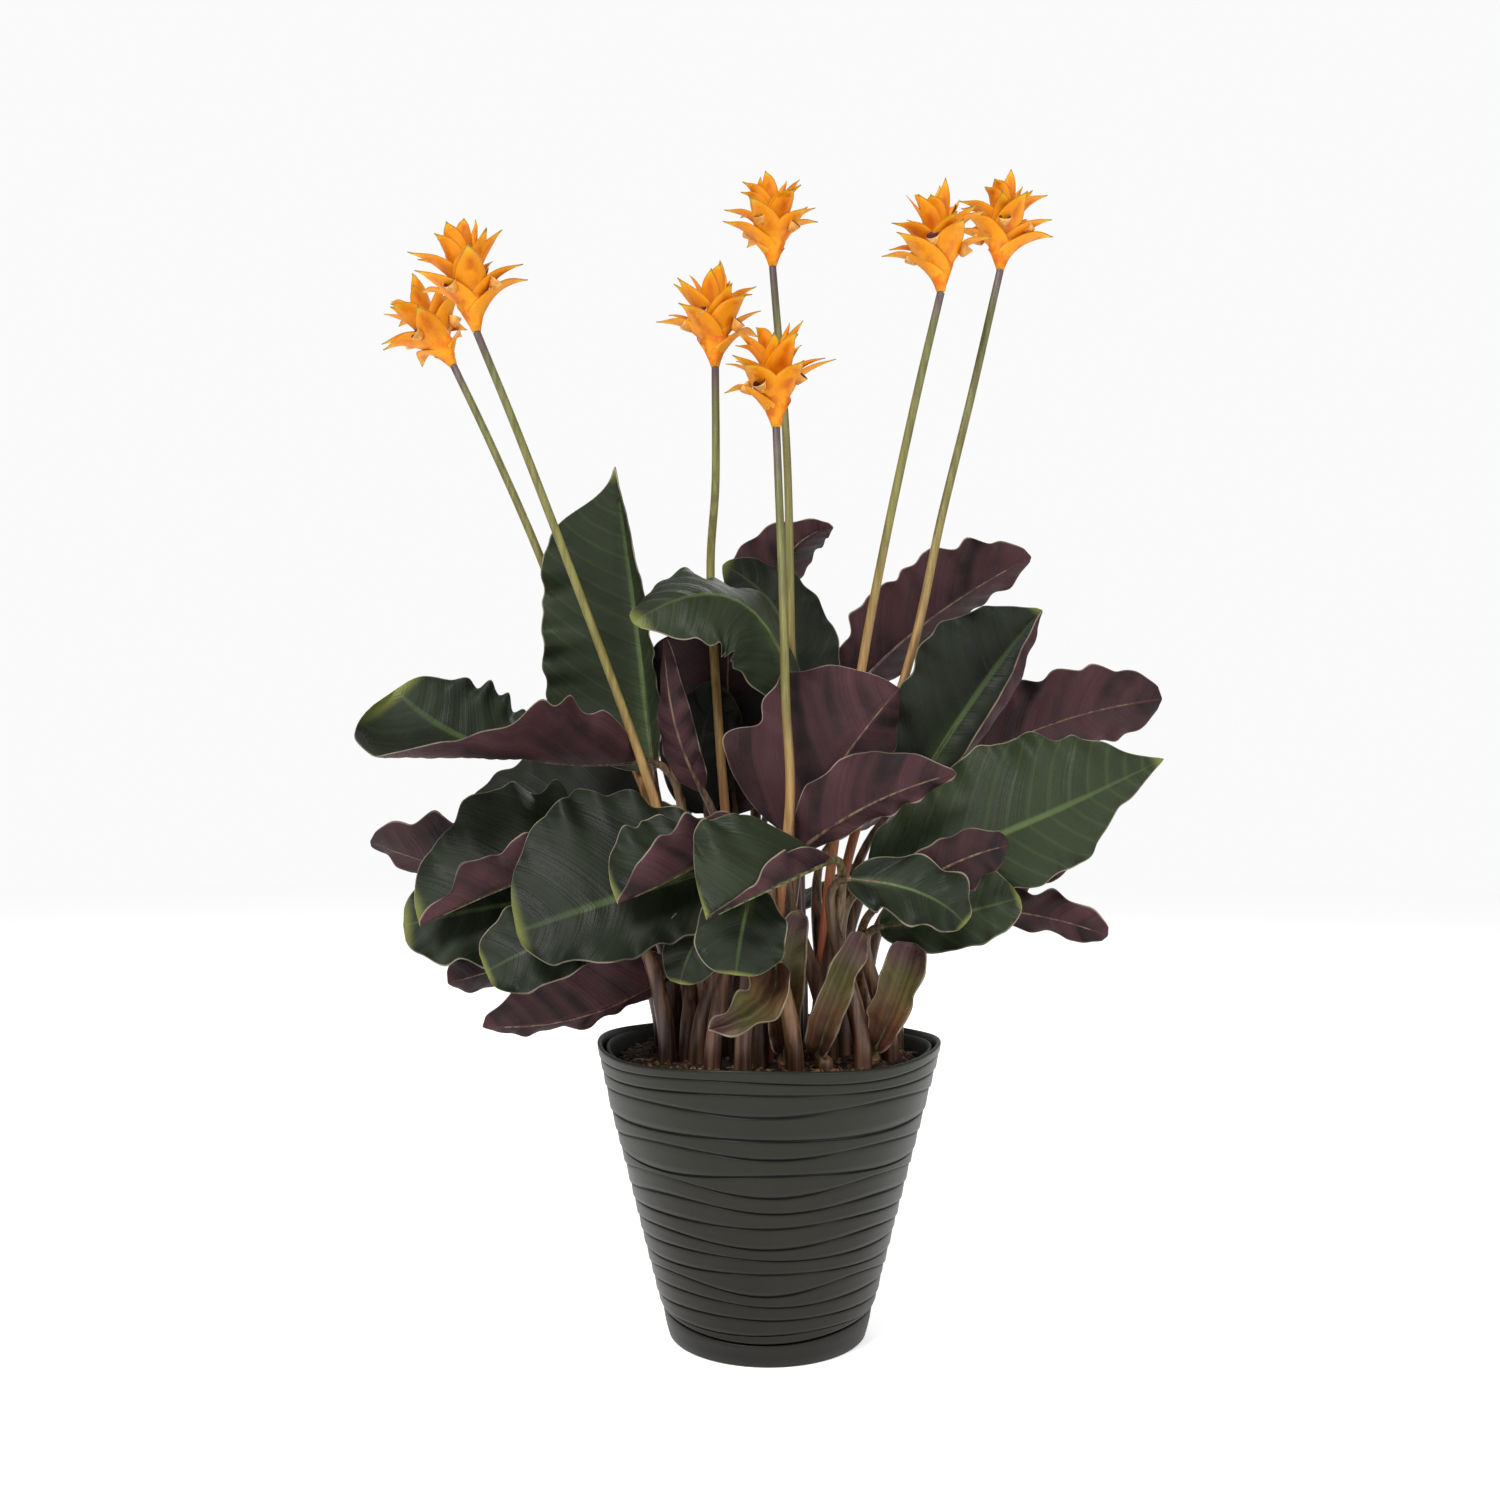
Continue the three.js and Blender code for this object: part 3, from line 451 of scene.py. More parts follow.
def makePotMaterial(name, roughness, shadeShare):
    # satin moulded plastic: a fine grain, painted shade darker and browner low down, in the grooves, at the
    # seam and inside, a little dust, and an overall share of painted shade
    look = potLook
    material, tree, shader, where, spread = startMaterial(name, look)
    height = place(tree, "ShaderNodeSeparateXYZ", {0: where}).outputs[2]
    tint = paint(
        tree,
        look["low"],
        (step(tree, height, *look["footShadeUpTo"]), look["lit"]),
        (multiply(tree, spread["Mask"], look["dustShare"]), look["dust"]),
        # painted shade in the grooves, at the seam and inside the wall
        (readValue(tree, "paintedShade"), look["paintedShade"]),
        (shadeShare, look["paintedShade"]),
    )
    rough = calculate(tree, "MULTIPLY_ADD", spread["Mask"], 0.08, roughness)
    tree.links.new(rough, shader.inputs["Roughness"])
    finishMaterial(tree, shader, tint, spread["Height"], *look["relief"])
    return material


soilLook = {
    "grain": (260.0, 1300.0),
    "relief": (0.8, 0.0015),
    "roughness": 0.95,
    "cellScale": 420.0,
    "cellEdge": (0.2, 0.6),
    "gapShadeShare": 0.6,
    "tints": [(0.0, (34, 24, 17)), (0.6, (62, 43, 29)), (1.0, (92, 66, 43))],
    "dark": colour(28, 20, 14),
}


def makeSoilMaterial():
    look = soilLook
    material, tree, shader, where, spread = startMaterial("soilCrumb", look)
    cells = result(tree, "ShaderNodeTexVoronoi", {"Vector": where, "Scale": look["cellScale"]})
    tint = colourRamp(tree, spread["Mask"], look["tints"])
    # the gaps between lumps, lowest in the relief, are darker: painted shade
    shadedGaps = multiply(tree, step(tree, cells, *look["cellEdge"]), look["gapShadeShare"])
    tint = blendColours(tree, shadedGaps, tint, look["dark"])
    height = calculate(tree, "SUBTRACT", spread["Height"], cells)
    finishMaterial(tree, shader, tint, height, *look["relief"])
    return material


crumbLook = {"grain": (240.0, 1500.0), "relief": (0.6, 0.0006), "roughness": 0.85}


def makeCrumbMaterial(name, dark, light):
    material, tree, shader, _, spread = startMaterial(name, crumbLook)
    tint = blendColours(tree, spread["Mask"], dark, light)
    finishMaterial(tree, shader, tint, spread["Height"], *crumbLook["relief"])
    return material


leafMaterial = makeLeafMaterial()
stalkMaterial = makeStalkMaterial()
stemMaterial = makeLengthMaterial("flowerStem", 0.5, stemLook, "up")
bractMaterial = makeBractMaterial()
throatMaterial = makeLengthMaterial("floretThroat", 0.55, throatLook, "along")
potMaterial = makePotMaterial("potSatin", 0.36, 0.0)
# the liner inside the pot and the saucer under its overhang are darker copies of the plastic: painted shade
linerMaterial = makePotMaterial("linerMatt", 0.5, 0.45)
saucerMaterial = makePotMaterial("saucerSatin", 0.44, 0.35)
soilMaterial = makeSoilMaterial()
chipMaterial = makeCrumbMaterial("barkChip", colour(58, 38, 26), colour(140, 104, 68))
fibreMaterial = makeCrumbMaterial("coirFibre", colour(120, 88, 54), colour(186, 156, 110))
print("materials ready")


def makeStalkTree():
    # loose edges that carry a "thick" radius become round stalks, and the faces stay as they are
    inputs = {"Geometry": "Geometry", "Sides": 10, "Stalk Material": "Material"}
    tree, start, end = newGroup("stalkAlongPath", inputs, {"Geometry": "Geometry"}, "GeometryNodeTree")
    whole = start["Geometry"]
    thick = result(tree, "GeometryNodeInputNamedAttribute", {"Name": "thick"}, data_type="FLOAT")
    isPath = result(tree, "FunctionNodeCompare", {0: thick, 1: 0.0}, operation="GREATER_THAN")
    path = result(tree, "GeometryNodeMeshToCurve", {"Mesh": whole, "Selection": isPath})
    ring = result(tree, "GeometryNodeCurvePrimitiveCircle", {"Resolution": start["Sides"], "Radius": 1.0})
    inputs = {"Curve": path, "Profile Curve": ring, "Scale": thick, "Fill Caps": True}
    tube = result(tree, "GeometryNodeCurveToMesh", inputs)
    inputs = {"Geometry": tube, "Material": start["Stalk Material"]}
    joined = place(tree, "GeometryNodeJoinGeometry", {0: result(tree, "GeometryNodeSetMaterial", inputs)})
    sheets = result(tree, "GeometryNodeDeleteGeometry", {"Geometry": whole, "Selection": isPath})
    tree.links.new(sheets, joined.inputs[0])
    real = result(tree, "GeometryNodeRealizeInstances", {"Geometry": joined.outputs[0]})
    return finishGroup(tree, end, Geometry=real)


def makeScatterTree():
    # crumbs or fibres strewn over the soil's upward faces: even spacing, random turn and size
    inputs = {
        "Geometry": "Geometry",
        "Crumb": "Object",
        "Spacing": 0.004,
        "Density": 30000.0,
        "Smallest": 0.5,
        "Largest": 1.2,
        "Tilt": 0.6,
        "Lowest Place": 0.13,
        "Flattest Rise": 0.5,
        "Seed": 7,
        "Crumb Material": "Material",
    }
    tree, start, end = newGroup("soilScatter", inputs, {"Geometry": "Geometry"}, "GeometryNodeTree")
    tilt, seed = start["Tilt"], start["Seed"]

    def isHigher(kind, limit):
        height = place(tree, "ShaderNodeSeparateXYZ", {0: result(tree, kind)}).outputs[2]
        return result(tree, "FunctionNodeCompare", {0: height, 1: limit}, operation="GREATER_THAN")

    upward = isHigher("GeometryNodeInputNormal", start["Flattest Rise"])
    onTop = isHigher("GeometryNodeInputPosition", start["Lowest Place"])
    inputs = {
        "Mesh": start["Geometry"],
        "Selection": result(tree, "FunctionNodeBooleanMath", {0: upward, 1: onTop}),
        "Distance Min": start["Spacing"],
        "Density Max": start["Density"],
        "Seed": seed,
    }
    points = result(tree, "GeometryNodeDistributePointsOnFaces", inputs, distribute_method="POISSON")
    back = multiply(tree, tilt, -1.0)
    low = result(tree, "ShaderNodeCombineXYZ", {0: back, 1: back, 2: 0.0})
    high = result(tree, "ShaderNodeCombineXYZ", {0: tilt, 1: tilt, 2: 2 * math.pi})
    inputs = {0: low, 1: high, "Seed": seed}
    turn = result(tree, "FunctionNodeRandomValue", inputs, data_type="FLOAT_VECTOR")
    inputs = {2: start["Smallest"], 3: start["Largest"], "Seed": seed}
    size = place(tree, "FunctionNodeRandomValue", inputs, data_type="FLOAT").outputs[1]
    crumb = place(tree, "GeometryNodeObjectInfo", {"Object": start["Crumb"]}).outputs["Geometry"]
    inputs = {"Points": points, "Instance": crumb, "Rotation": turn, "Scale": size}
    strewn = result(tree, "GeometryNodeInstanceOnPoints", inputs)
    real = result(tree, "GeometryNodeRealizeInstances", {"Geometry": strewn})
    inputs = {"Geometry": real, "Material": start["Crumb Material"]}
    return finishGroup(tree, end, Geometry=result(tree, "GeometryNodeSetMaterial", inputs))


stalkTree = makeStalkTree()
scatterTree = makeScatterTree()


def runTree(piece, tree, **values):
    # adds the tree, sets its inputs, and keeps the result as a plain mesh
    modifier = piece.modifiers.new(tree.name, "NODES")
    modifier.node_group = tree
    wanted = {key.replace("_", " "): value for key, value in values.items()}
    for item in tree.interface.items_tree:
        if item.item_type == "SOCKET" and item.in_out == "INPUT" and item.name in wanted:
            modifier[item.identifier] = wanted[item.name]
    view = bpy.context.evaluated_depsgraph_get()
    mesh = bpy.data.meshes.new_from_object(piece.evaluated_get(view))
    piece.modifiers.clear()
    old = piece.data
    piece.data = mesh
    bpy.data.meshes.remove(old)


def linkObject(name, data):
    holder = bpy.data.objects.new(name, data)
    bpy.context.scene.collection.objects.link(holder)
    return holder


def newPiece(name, points, faces, materials, values=None, edges=(), faceMaterials=None):
    # a mesh from points in millimetres. values: numbers for the materials, one for each point
    mesh = bpy.data.meshes.new(name)
    mesh.from_pydata([Vector(p) * mm for p in points], edges, faces)
    for label, numbers in (values or {}).items():
        mesh.attributes.new(label, "FLOAT", "POINT").data.foreach_set("value", numbers)
    for material in materials:
        mesh.materials.append(material)
    if faceMaterials:
        mesh.polygons.foreach_set("material_index", faceMaterials)
    mesh.validate()
    mesh.shade_smooth()
    return linkObject(name, mesh)


def keepPiece(piece, node):
    piece.data.shade_smooth()
    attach(piece, body)
    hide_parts(node)


def sheetFaces(rows, columns):
    # two skins of (rows + 1) x (columns + 1) points, joined all round the edge
    across = columns + 1
    under = (rows + 1) * across
    faces = []
    for i in range(rows):
        for j in range(columns):
            a = i * across + j
            faces.append((a, a + across, a + across + 1, a + 1))
            faces.append((a + under, a + under + 1, a + under + across + 1, a + under + across))
    rim = list(range(columns))
    rim += [i * across + columns for i in range(rows)]
    rim += [rows * across + j for j in range(columns, 0, -1)]
    rim += [i * across for i in range(rows, 0, -1)]
    for a, b in zip(rim, rim[1:] + rim[:1]):
        faces.append((a, b, b + under, a + under))
    return faces


def joinRings(counts):
    # faces between rings of points that follow each other, where a ring of one point is a pole
    faces, first, around = [], 0, max(counts)
    for count, following in zip(counts, counts[1:]):
        for n in range(around):
            a, b = first + n % count, first + (n + 1) % count
            c, d = first + count + n % following, first + count + (n + 1) % following
            faces.append(tuple(dict.fromkeys((a, b, d, c))))
        first += count
    return faces


# foot: where the leaf stalk leaves the soil. base, mid, tip: the midrib. half: half width on each side.
# face: the way the upper side looks at base and tip, or all along. swell: fullness at base and tip.
# left, right: degrees that each half folds at base and tip, then curls at base and tip.
# A leaf without right has both halves as left says.
# ruffle: height of the edge waves, their number and their phase.
# trim: the share of each half's width that its own outline leaves, at even steps from base to tip.
# fresh: how fresh a green. yellow: how yellow the stalk. shade: how deep in the shade.
# sheath: how much the blade is a stalk's broad sheath.
plainLeaf = {
    "swell": (0.55, 0.5),
    "left": (0, 0, 10, 10),
    "ruffle": (2, 3, 0),
    "trim": ((1, 1), (1, 1)),
    "fresh": 0.2,
    "yellow": 0.15,
    "shade": 0,
    "sheath": 0,
}
leaves = {
    "left_tall": dict(
        foot=(-28, 11), base=(-58, 16, 279), mid=(-67, 22, 357), tip=(-77, 8, 433), half=(47, 13),
        face=((-0.15, -1, 0.1), (-0.1, -1, 0)), swell=(0.5, 0.55), left=(8, 12, 12, 12),
        right=(30, 50, 20, 40), ruffle=(3, 3, 0),
        trim=((1.2, 1.2, 1.05, 1, 1.1, 0.15), (1, 1, 1, 1, 0.8, 0.2)), fresh=0.8, yellow=0.2,
    ),
    "left_boat": dict(
        foot=(-49, -11), base=(-65, -4, 284), mid=(-130, -22, 288), tip=(-180, -22, 318), half=(50, 34),
        face=((-0.1, -0.1, 1), (-0.2, -0.8, 0.5)), swell=(0.55, 0.55), left=(20, -5, 105, 55),
        right=(25, 10, 10, -20), ruffle=(3, 3, 1), trim=((1, 1, 1.05, 1.1, 1.35, 1.6), (1, 1)), fresh=0.3,
        yellow=0.1,
    ),
    "left_dart": dict(
        foot=(-46, 15), base=(-106, 16, 224), mid=(-155, 8, 230), tip=(-199, 2, 244), half=(30, 16),
        face=((-0.2, -0.1, 1), (-0.2, -0.2, 1)), left=(45, 45, 20, 20), right=(-30, -35, -20, -20),
        ruffle=(2, 3, 2), fresh=0.1, yellow=0.1, shade=0.3,
    ),
    "left_back": dict(
        foot=(-43, 28), base=(-60, 38, 263), mid=(-110, 50, 258), tip=(-166, 46, 243), half=(24, 42),
        face=((-0.3, -0.8, 0.5), (-0.3, -0.8, 0.4)), swell=(0.55, 0.55), left=(5, 5, 10, 10),
        right=(0, 0, -10, -10), fresh=0.1, yellow=0.1, shade=0.35,
    ),
    "left_fold": dict(
        foot=(-28, -21), base=(-71, -26, 240), mid=(-112, -42, 228), tip=(-162, -50, 206), half=(19, 52),
        face=((-0.4, -0.85, 0.4), (-0.4, -0.85, 0.35)), left=(115, 125, 20, 20), right=(0, 5, 8, 8),
        ruffle=(3, 4, 2), trim=((1.2, 1.2, 1, 1, 0.8, 0.5), (1, 1, 1, 0.95, 0.85, 0.9)),
    ),
    "left_low": dict(
        foot=(-45, 0), base=(-77, -7, 218), mid=(-125, -24, 214), tip=(-175, -28, 204), half=(30, 30),
        face=((-0.3, -0.8, 0.5),), swell=(0.55, 0.42), ruffle=(2, 4, 1),
    ),
    "left_low_small": dict(
        foot=(-48, -32), base=(-77, -42, 208), mid=(-103, -58, 199), tip=(-129, -62, 186), half=(20, 22),
        face=((-0.3, -0.9, 0.3),), swell=(0.5, 0.42), ruffle=(2, 3, 1),
    ),
    "front_left_big": dict(
        foot=(-34, -33), base=(-14, -42, 235), mid=(-64, -66, 221), tip=(-113, -74, 205), half=(30, 58),
        face=((-0.1, -1, 0.4), (-0.2, -1, 0.4)), left=(0, 0, 20, 20), right=(0, 5, -12, -12),
        ruffle=(2.5, 3, 0), yellow=0.2, shade=0.2,
    ),
    "front_fold": dict(
        foot=(-4, -44), base=(-10, -54, 250), mid=(-35, -74, 234), tip=(-67, -86, 219), half=(21, 42),
        face=((-0.4, -0.85, 0.35),), left=(110, 115, 15, 15), right=(0, 0, 5, 5), ruffle=(2.5, 3, 0),
        trim=((1, 1, 1, 1, 0.8, 0.4), (0.4, 0.6, 0.8, 0.85, 0.85, 1)),
    ),
    "front_centre": dict(
        foot=(24, -31), base=(28, -66, 237), mid=(-1, -102, 226), tip=(-27, -110, 214), half=(14, 42),
        face=((0, -1, 0.3), (0, -1, 0.4)), swell=(0.7, 0.5), left=(150, 150, 10, 10),
        right=(5, 0, -15, -15), ruffle=(2.5, 3, 1),
        trim=((1, 1.2, 0.8, 0.3, 0.2, 0.2), (0.8, 1.09, 1, 0.98, 0.92, 1)), fresh=0.6, yellow=0.7,
    ),
    "top_arch": dict(
        foot=(5, 4), base=(16, -4, 306), mid=(-13, -22, 360), tip=(-64, -38, 348), half=(32, 38),
        face=((0.2, -0.5, 0.85), (-0.1, -0.7, 0.7)), left=(-10, -20, -15, -15), right=(-10, -10, -15, -15),
        ruffle=(2.5, 3, 0), trim=((1, 1, 1, 1, 1, 0.6), (0.7, 0.8, 1, 1.1, 1.1, 0.8)), fresh=0.6,
        yellow=0.2,
    ),
    "top_back": dict(
        foot=(15, 19), base=(17, 32, 296), mid=(10, 38, 355), tip=(-23, 32, 387), half=(32, 25),
        face=((0, -1, 0.2), (0.3, -1, 0.3)), swell=(0.55, 0.7), right=(0, 0, -15, -15), fresh=0.1,
        yellow=0.2, shade=0.3,
    ),
    "back_tip": dict(
        foot=(-4, 40), base=(-6, 50, 323), mid=(5, 56, 386), tip=(35, 44, 410), half=(26, 24),
        face=((-0.3, 0.9, 0.2), (-0.4, 0.8, 0.5)), swell=(0.55, 0.6), left=(20, 30, 20, 20),
        right=(10, 30, 20, 20), ruffle=(2.5, 4, 1),
        trim=((0.8, 0.8, 0.9, 1.1, 1.2, 0.8), (1, 1, 1, 0.9, 0.6, 0.4)),
    ),
    "right_back": dict(
        foot=(18, 38), base=(41, 54, 317), mid=(85, 62, 360), tip=(143, 56, 396), half=(28, 32),
        face=((-0.4, 0.7, 0.6),), left=(10, 10, 15, 15), right=(10, 10, 20, 20),
        trim=((1.1, 1.1, 1, 0.95, 0.85, 0.8), (1, 1, 1, 1, 1, 0.8)),
    ),
    "right_upper": dict(
        foot=(33, 8), base=(73, 10, 267), mid=(107, 4, 320), tip=(138, 4, 360), half=(36, 34),
        face=((0, -1, 0.1),), swell=(0.55, 0.55), left=(5, 5, 12, 12), right=(0, 10, 120, 150),
        ruffle=(2.5, 4, 0), trim=((1, 1, 1, 1, 0.85, 0.4), (1, 1, 1, 1, 0.8, 0.3)), fresh=0.15, yellow=0.2,
        shade=0.2,
    ),
    "right_arm": dict(
        foot=(35, 17), base=(69, 26, 262), mid=(137, 40, 300), tip=(209, 40, 318), half=(30, 25),
        face=((-0.1, 0.8, 0.55),), swell=(0.55, 0.45), left=(5, 5, 10, 10), right=(10, 10, 20, 20),
        ruffle=(2, 4, 1),
    ),
    "right_big": dict(
        foot=(37, -12), base=(49, -20, 223), mid=(123, -42, 254), tip=(189, -30, 284), half=(42, 26),
        face=((0, -1, 0.3),), swell=(0.55, 0.7), left=(0, 0, -8, -8), right=(-10, -10, -15, -15),
        ruffle=(2.5, 4, 2), trim=((1.1, 1, 1, 1, 0.9, 0.3), (1, 1, 1.05, 1.05, 0.6, 0.3)), fresh=1.0,
        yellow=0.3,
    ),
    "centre_purple": dict(
        foot=(2, -11), base=(11, -24, 246), mid=(38, -34, 287), tip=(63, -28, 318), half=(34, 46),
        face=((0.1, 1, -0.1), (0.1, 1, 0)), swell=(0.55, 0.6), left=(42, 50, 20, 20),
        right=(0, 5, -10, -10), ruffle=(2.5, 3, 0), trim=((1.1, 1, 1, 1, 1, 0.9), (1.5, 1.3, 1, 1, 1, 0.8)),
    ),
    "centre_right": dict(
        foot=(30, -23), base=(15, -36, 241), mid=(48, -52, 263), tip=(87, -50, 277), half=(8, 24),
        face=((0.1, 0.9, 0.3),), left=(5, 5, 15, 15), trim=((1, 1, 1, 1, 1, 0.6), (1, 1, 1, 0.9, 0.7, 0.3)),
    ),
    "inner_curl": dict(
        foot=(-18, -13), base=(-32, -14, 269), mid=(-45, -26, 302), tip=(-50, -20, 343), half=(8, 14),
        face=((0, 0.9, 0.1),), swell=(0.55, 0.7), left=(10, 10, 20, 20), right=(10, 60, 40, 40), fresh=0.1,
        yellow=0.1, shade=0.1,
    ),
    "inner_low": dict(
        foot=(-25, 1), base=(-31, 17, 258), mid=(-34, 16, 291), tip=(-23, 14, 323), half=(20, 20),
        face=((0, -1, 0.1),), left=(10, 10, 10, 10), fresh=0.1, yellow=0.1, shade=0.8,
    ),
    "inner_dark": dict(
        foot=(-4, 26), base=(-16, 24, 257), mid=(-20, 26, 309), tip=(-19, 20, 352), half=(30, 36),
        face=((0, 1, 0.1),), swell=(0.5, 0.5), left=(10, 10, -20, -20),
        trim=((1, 1, 1, 1, 1.2, 1.6), (1, 1, 1, 1.1, 1.4, 1.8)), fresh=0.1, yellow=0.1, shade=0.55,
    ),
    "low_purple": dict(
        foot=(-39, -24), base=(-44, -15, 183), mid=(-87, -24, 161), tip=(-137, -28, 156), half=(33, 8),
        face=((0, 0.9, 0.4),), swell=(0.5, 0.42), left=(5, 5, 10, 10), right=(20, 20, 20, 20),
        trim=((0.8, 0.9, 1.1, 1.1, 0.7, 0.5), (1, 1)),
    ),
    "low_left_tip": dict(
        foot=(-53, 10), base=(-84, 6, 195), mid=(-123, -4, 184), tip=(-158, -8, 174), half=(18, 18),
        face=((0, 0.9, 0.4),), left=(5, 5, 10, 10), right=(20, 20, 20, 20), ruffle=(1.5, 3, 0),
    ),
    "front_low_a": dict(
        foot=(-26, -53), base=(-20, -58, 215), mid=(-33, -70, 201), tip=(-40, -72, 182), half=(15, 13),
        face=((-0.2, -1, 0.3),), ruffle=(1.5, 3, 0),
    ),
    "front_low_b": dict(
        foot=(-12, -60), base=(-8, -74, 224), mid=(-12, -88, 208), tip=(-15, -88, 188), half=(19, 19),
        face=((0, -1, 0.4), (0, -1, 0.1)), swell=(0.55, 0.42), ruffle=(2.5, 3, 1),
    ),
    "front_mauve": dict(
        foot=(8, -44), base=(8, -47, 147), mid=(8, -53, 180), tip=(14, -60, 214), half=(8, 8),
        face=((0, -1, 0.1), (0.1, -1, 0.1)), swell=(0.25, 0.3), left=(10, 0, 40, 30), right=(10, 0, 40, 50),
        ruffle=(2, 2, 0), fresh=0.4, yellow=0.9, sheath=0.7,
    ),
    "front_yellow": dict(
        foot=(12, -55), base=(3, -68, 190), mid=(-3, -78, 172), tip=(-27, -82, 163), half=(14, 14),
        face=((-0.6, -0.8, 0.2), (-0.2, -0.5, 0.9)), swell=(0.55, 0.6), left=(20, 20, 10, 10),
        right=(60, 80, 20, 20), fresh=0.8, yellow=1.0, sheath=0.75,
    ),
    "right_low_green": dict(
        foot=(44, -47), base=(37, -56, 228), mid=(67, -72, 223), tip=(87, -76, 209), half=(15, 18),
        face=((0, -1, 0.4),), right=(10, 20, 20, 20), ruffle=(2.5, 3, 0),
    ),
    "right_low_ruffle": dict(
        foot=(59, -24), base=(53, -34, 204), mid=(87, -46, 211), tip=(117, -48, 219), half=(20, 16),
        face=((0, -1, 0.4),), ruffle=(2.5, 4, 0), fresh=0.8, yellow=0.4,
    ),
    "right_low_purple": dict(
        foot=(65, 9), base=(80, -8, 211), mid=(123, -18, 210), tip=(164, -24, 199), half=(9, 11),
        face=((0, 0.9, 0.4),), swell=(0.6, 0.4), left=(5, 5, 10, 10), ruffle=(1.5, 3, 0),
    ),
    "right_low_sliver": dict(
        foot=(48, 10), base=(80, 8, 222), mid=(117, 2, 227), tip=(152, 0, 234), half=(13, 13),
        face=((0, 0.9, 0.4),), swell=(0.55, 0.6), left=(5, 5, 10, 10), ruffle=(1.5, 3, 0),
    ),
    "right_mid_fold": dict(
        foot=(50, 1), base=(52, -42, 215), mid=(82, -64, 235), tip=(109, -64, 244), half=(15, 12),
        face=((-0.1, 0.9, 0.3),), left=(5, 5, 15, 15), ruffle=(1.5, 3, 0), yellow=0.3, shade=0.3,
    ),
    "right_sheath": dict(
        foot=(49, -34), base=(51, -37, 147), mid=(60, -44, 171), tip=(68, -49, 198), half=(11, 12),
        face=((-0.3, -1, 0.1), (-0.3, -1, 0.2)), swell=(0.4, 0.16), left=(20, 10, 30, 30),
        right=(30, 30, 30, 20), fresh=0.9, yellow=1.0, sheath=0.9,
    ),
    "mid_sheath": dict(
        foot=(26, -50), base=(23, -50, 147), mid=(30, -57, 171), tip=(43, -60, 204), half=(9, 7),
        face=((-0.3, -1, 0.1),), swell=(0.3, 0.25), left=(30, 30, 30, 30), right=(20, 10, 30, 30),
        fresh=0.7, yellow=0.8, shade=0.1, sheath=0.8,
    ),
    "back_left": dict(
        foot=(-22, 39), base=(-53, 68, 254), mid=(-78, 100, 264), tip=(-106, 128, 261), half=(34, 34),
        face=((-0.2, 0.5, 0.9), (-0.4, 0.7, 0.5)), swell=(0.55, 0.6), left=(10, 10, -10, -10),
        ruffle=(2.5, 4, 0),
    ),
    "back_mid": dict(
        foot=(4, 49), base=(0, 72, 256), mid=(9, 104, 287), tip=(10, 150, 298), half=(36, 36),
        face=((0, -0.6, 0.8), (0, 0.5, 0.9)), swell=(0.55, 0.6), left=(10, 10, -10, -10),
        ruffle=(2.5, 4, 1), yellow=0.1, shade=0.4,
    ),
    "back_right": dict(
        foot=(32, 40), base=(38, 64, 243), mid=(79, 96, 259), tip=(119, 120, 252), half=(34, 34),
        face=((0.2, 0.4, 0.9), (0.4, 0.7, 0.5)), swell=(0.55, 0.6), left=(10, 10, -10, -10),
        ruffle=(2.5, 4, 2),
    ),
    "back_low_left": dict(
        foot=(-17, 53), base=(-17, 86, 194), mid=(-44, 116, 200), tip=(-62, 142, 182), half=(28, 28),
        face=((-0.2, 0.5, 0.9), (-0.3, 0.8, 0.5)), swell=(0.55, 0.55), left=(5, 5, -10, -10),
        ruffle=(2.5, 4, 0),
    ),
    "back_low_right": dict(
        foot=(17, 54), base=(14, 88, 197), mid=(39, 118, 218), tip=(65, 146, 209), half=(28, 28),
        face=((0.2, 0.5, 0.9), (0.3, 0.8, 0.5)), swell=(0.55, 0.55), left=(5, 5, -10, -10),
        ruffle=(2.5, 4, 1),
    ),
}
leafShape = {
    "grid": (96, 24),
    "smallGrid": (64, 18),
    "smallHalf": 26,
    "thickness": 0.9,
    "edgeThickness": 0.5,
    # half width that base and tip keep
    "ends": (1.6, 0.7),
    "wavePhase": 1.3,
    "fineRuffle": 4,
    "ruffleLength": 18,
    "driftLength": 40,
    "crispLength": 8,
    "scallop": 0.13,
    "scallopLength": 13,
    # which rows of the noise the scallops and the ruffles read
    "scallopRow": (5.1, 7),
    "ruffleRow": 3.7,
    "veinSpacing": 11,
    "veinLean": (0.45, 0.35),
    "quilt": 0.45,
    # where the quilt is full: across from the rib to the edge, and along from base to tip
    "quiltAcross": (0.12, 0.8),
    "quiltAlong": (0.06, 0.92),
    "ribGroove": 0.45,
    "ribWidth": 1.3,
}
stalkShape = {
    "sides": 10,
    "steps": 16,
    # (share of the stalk's length, radius)
    "sheath": [(0, 4.2), (0.25, 4.2), (0.5, 3.2), (0.75, 2.2), (1, 1.8)],
    "ribRadius": 1.2,
    "ribEndRadius": 0.35,
    "ribReach": 0.9,
    "ribEase": 0.6,
    "ribSink": 0.3,
    "footDepth": 9,
    "collar": 4,
    "rise": 0.4,
    "lead": 0.3,
}


def bladeWidth(s, half, swell, ends):
    # half width at share s of the length, at its fullest equal to half
    peak = swell[0] / (swell[0] + swell[1])
    full = peak ** swell[0] * (1 - peak) ** swell[1]
    return half * s ** swell[0] * (1 - s) ** swell[1] / full + mix(ends[0], ends[1], s)


def trimAt(row, s):
    # eased change between evenly spaced values
    spot = s * (len(row) - 1)
    n = min(int(spot), len(row) - 2)
    return mix(row[n], row[n + 1], smooth(n, n + 1, spot))


def plateau(x, full, fading):
    # rises from 0 at x = 0, and falls back to 0 at x = 1
    return smooth(0, full, x) * (1 - smooth(fading, 1, x))


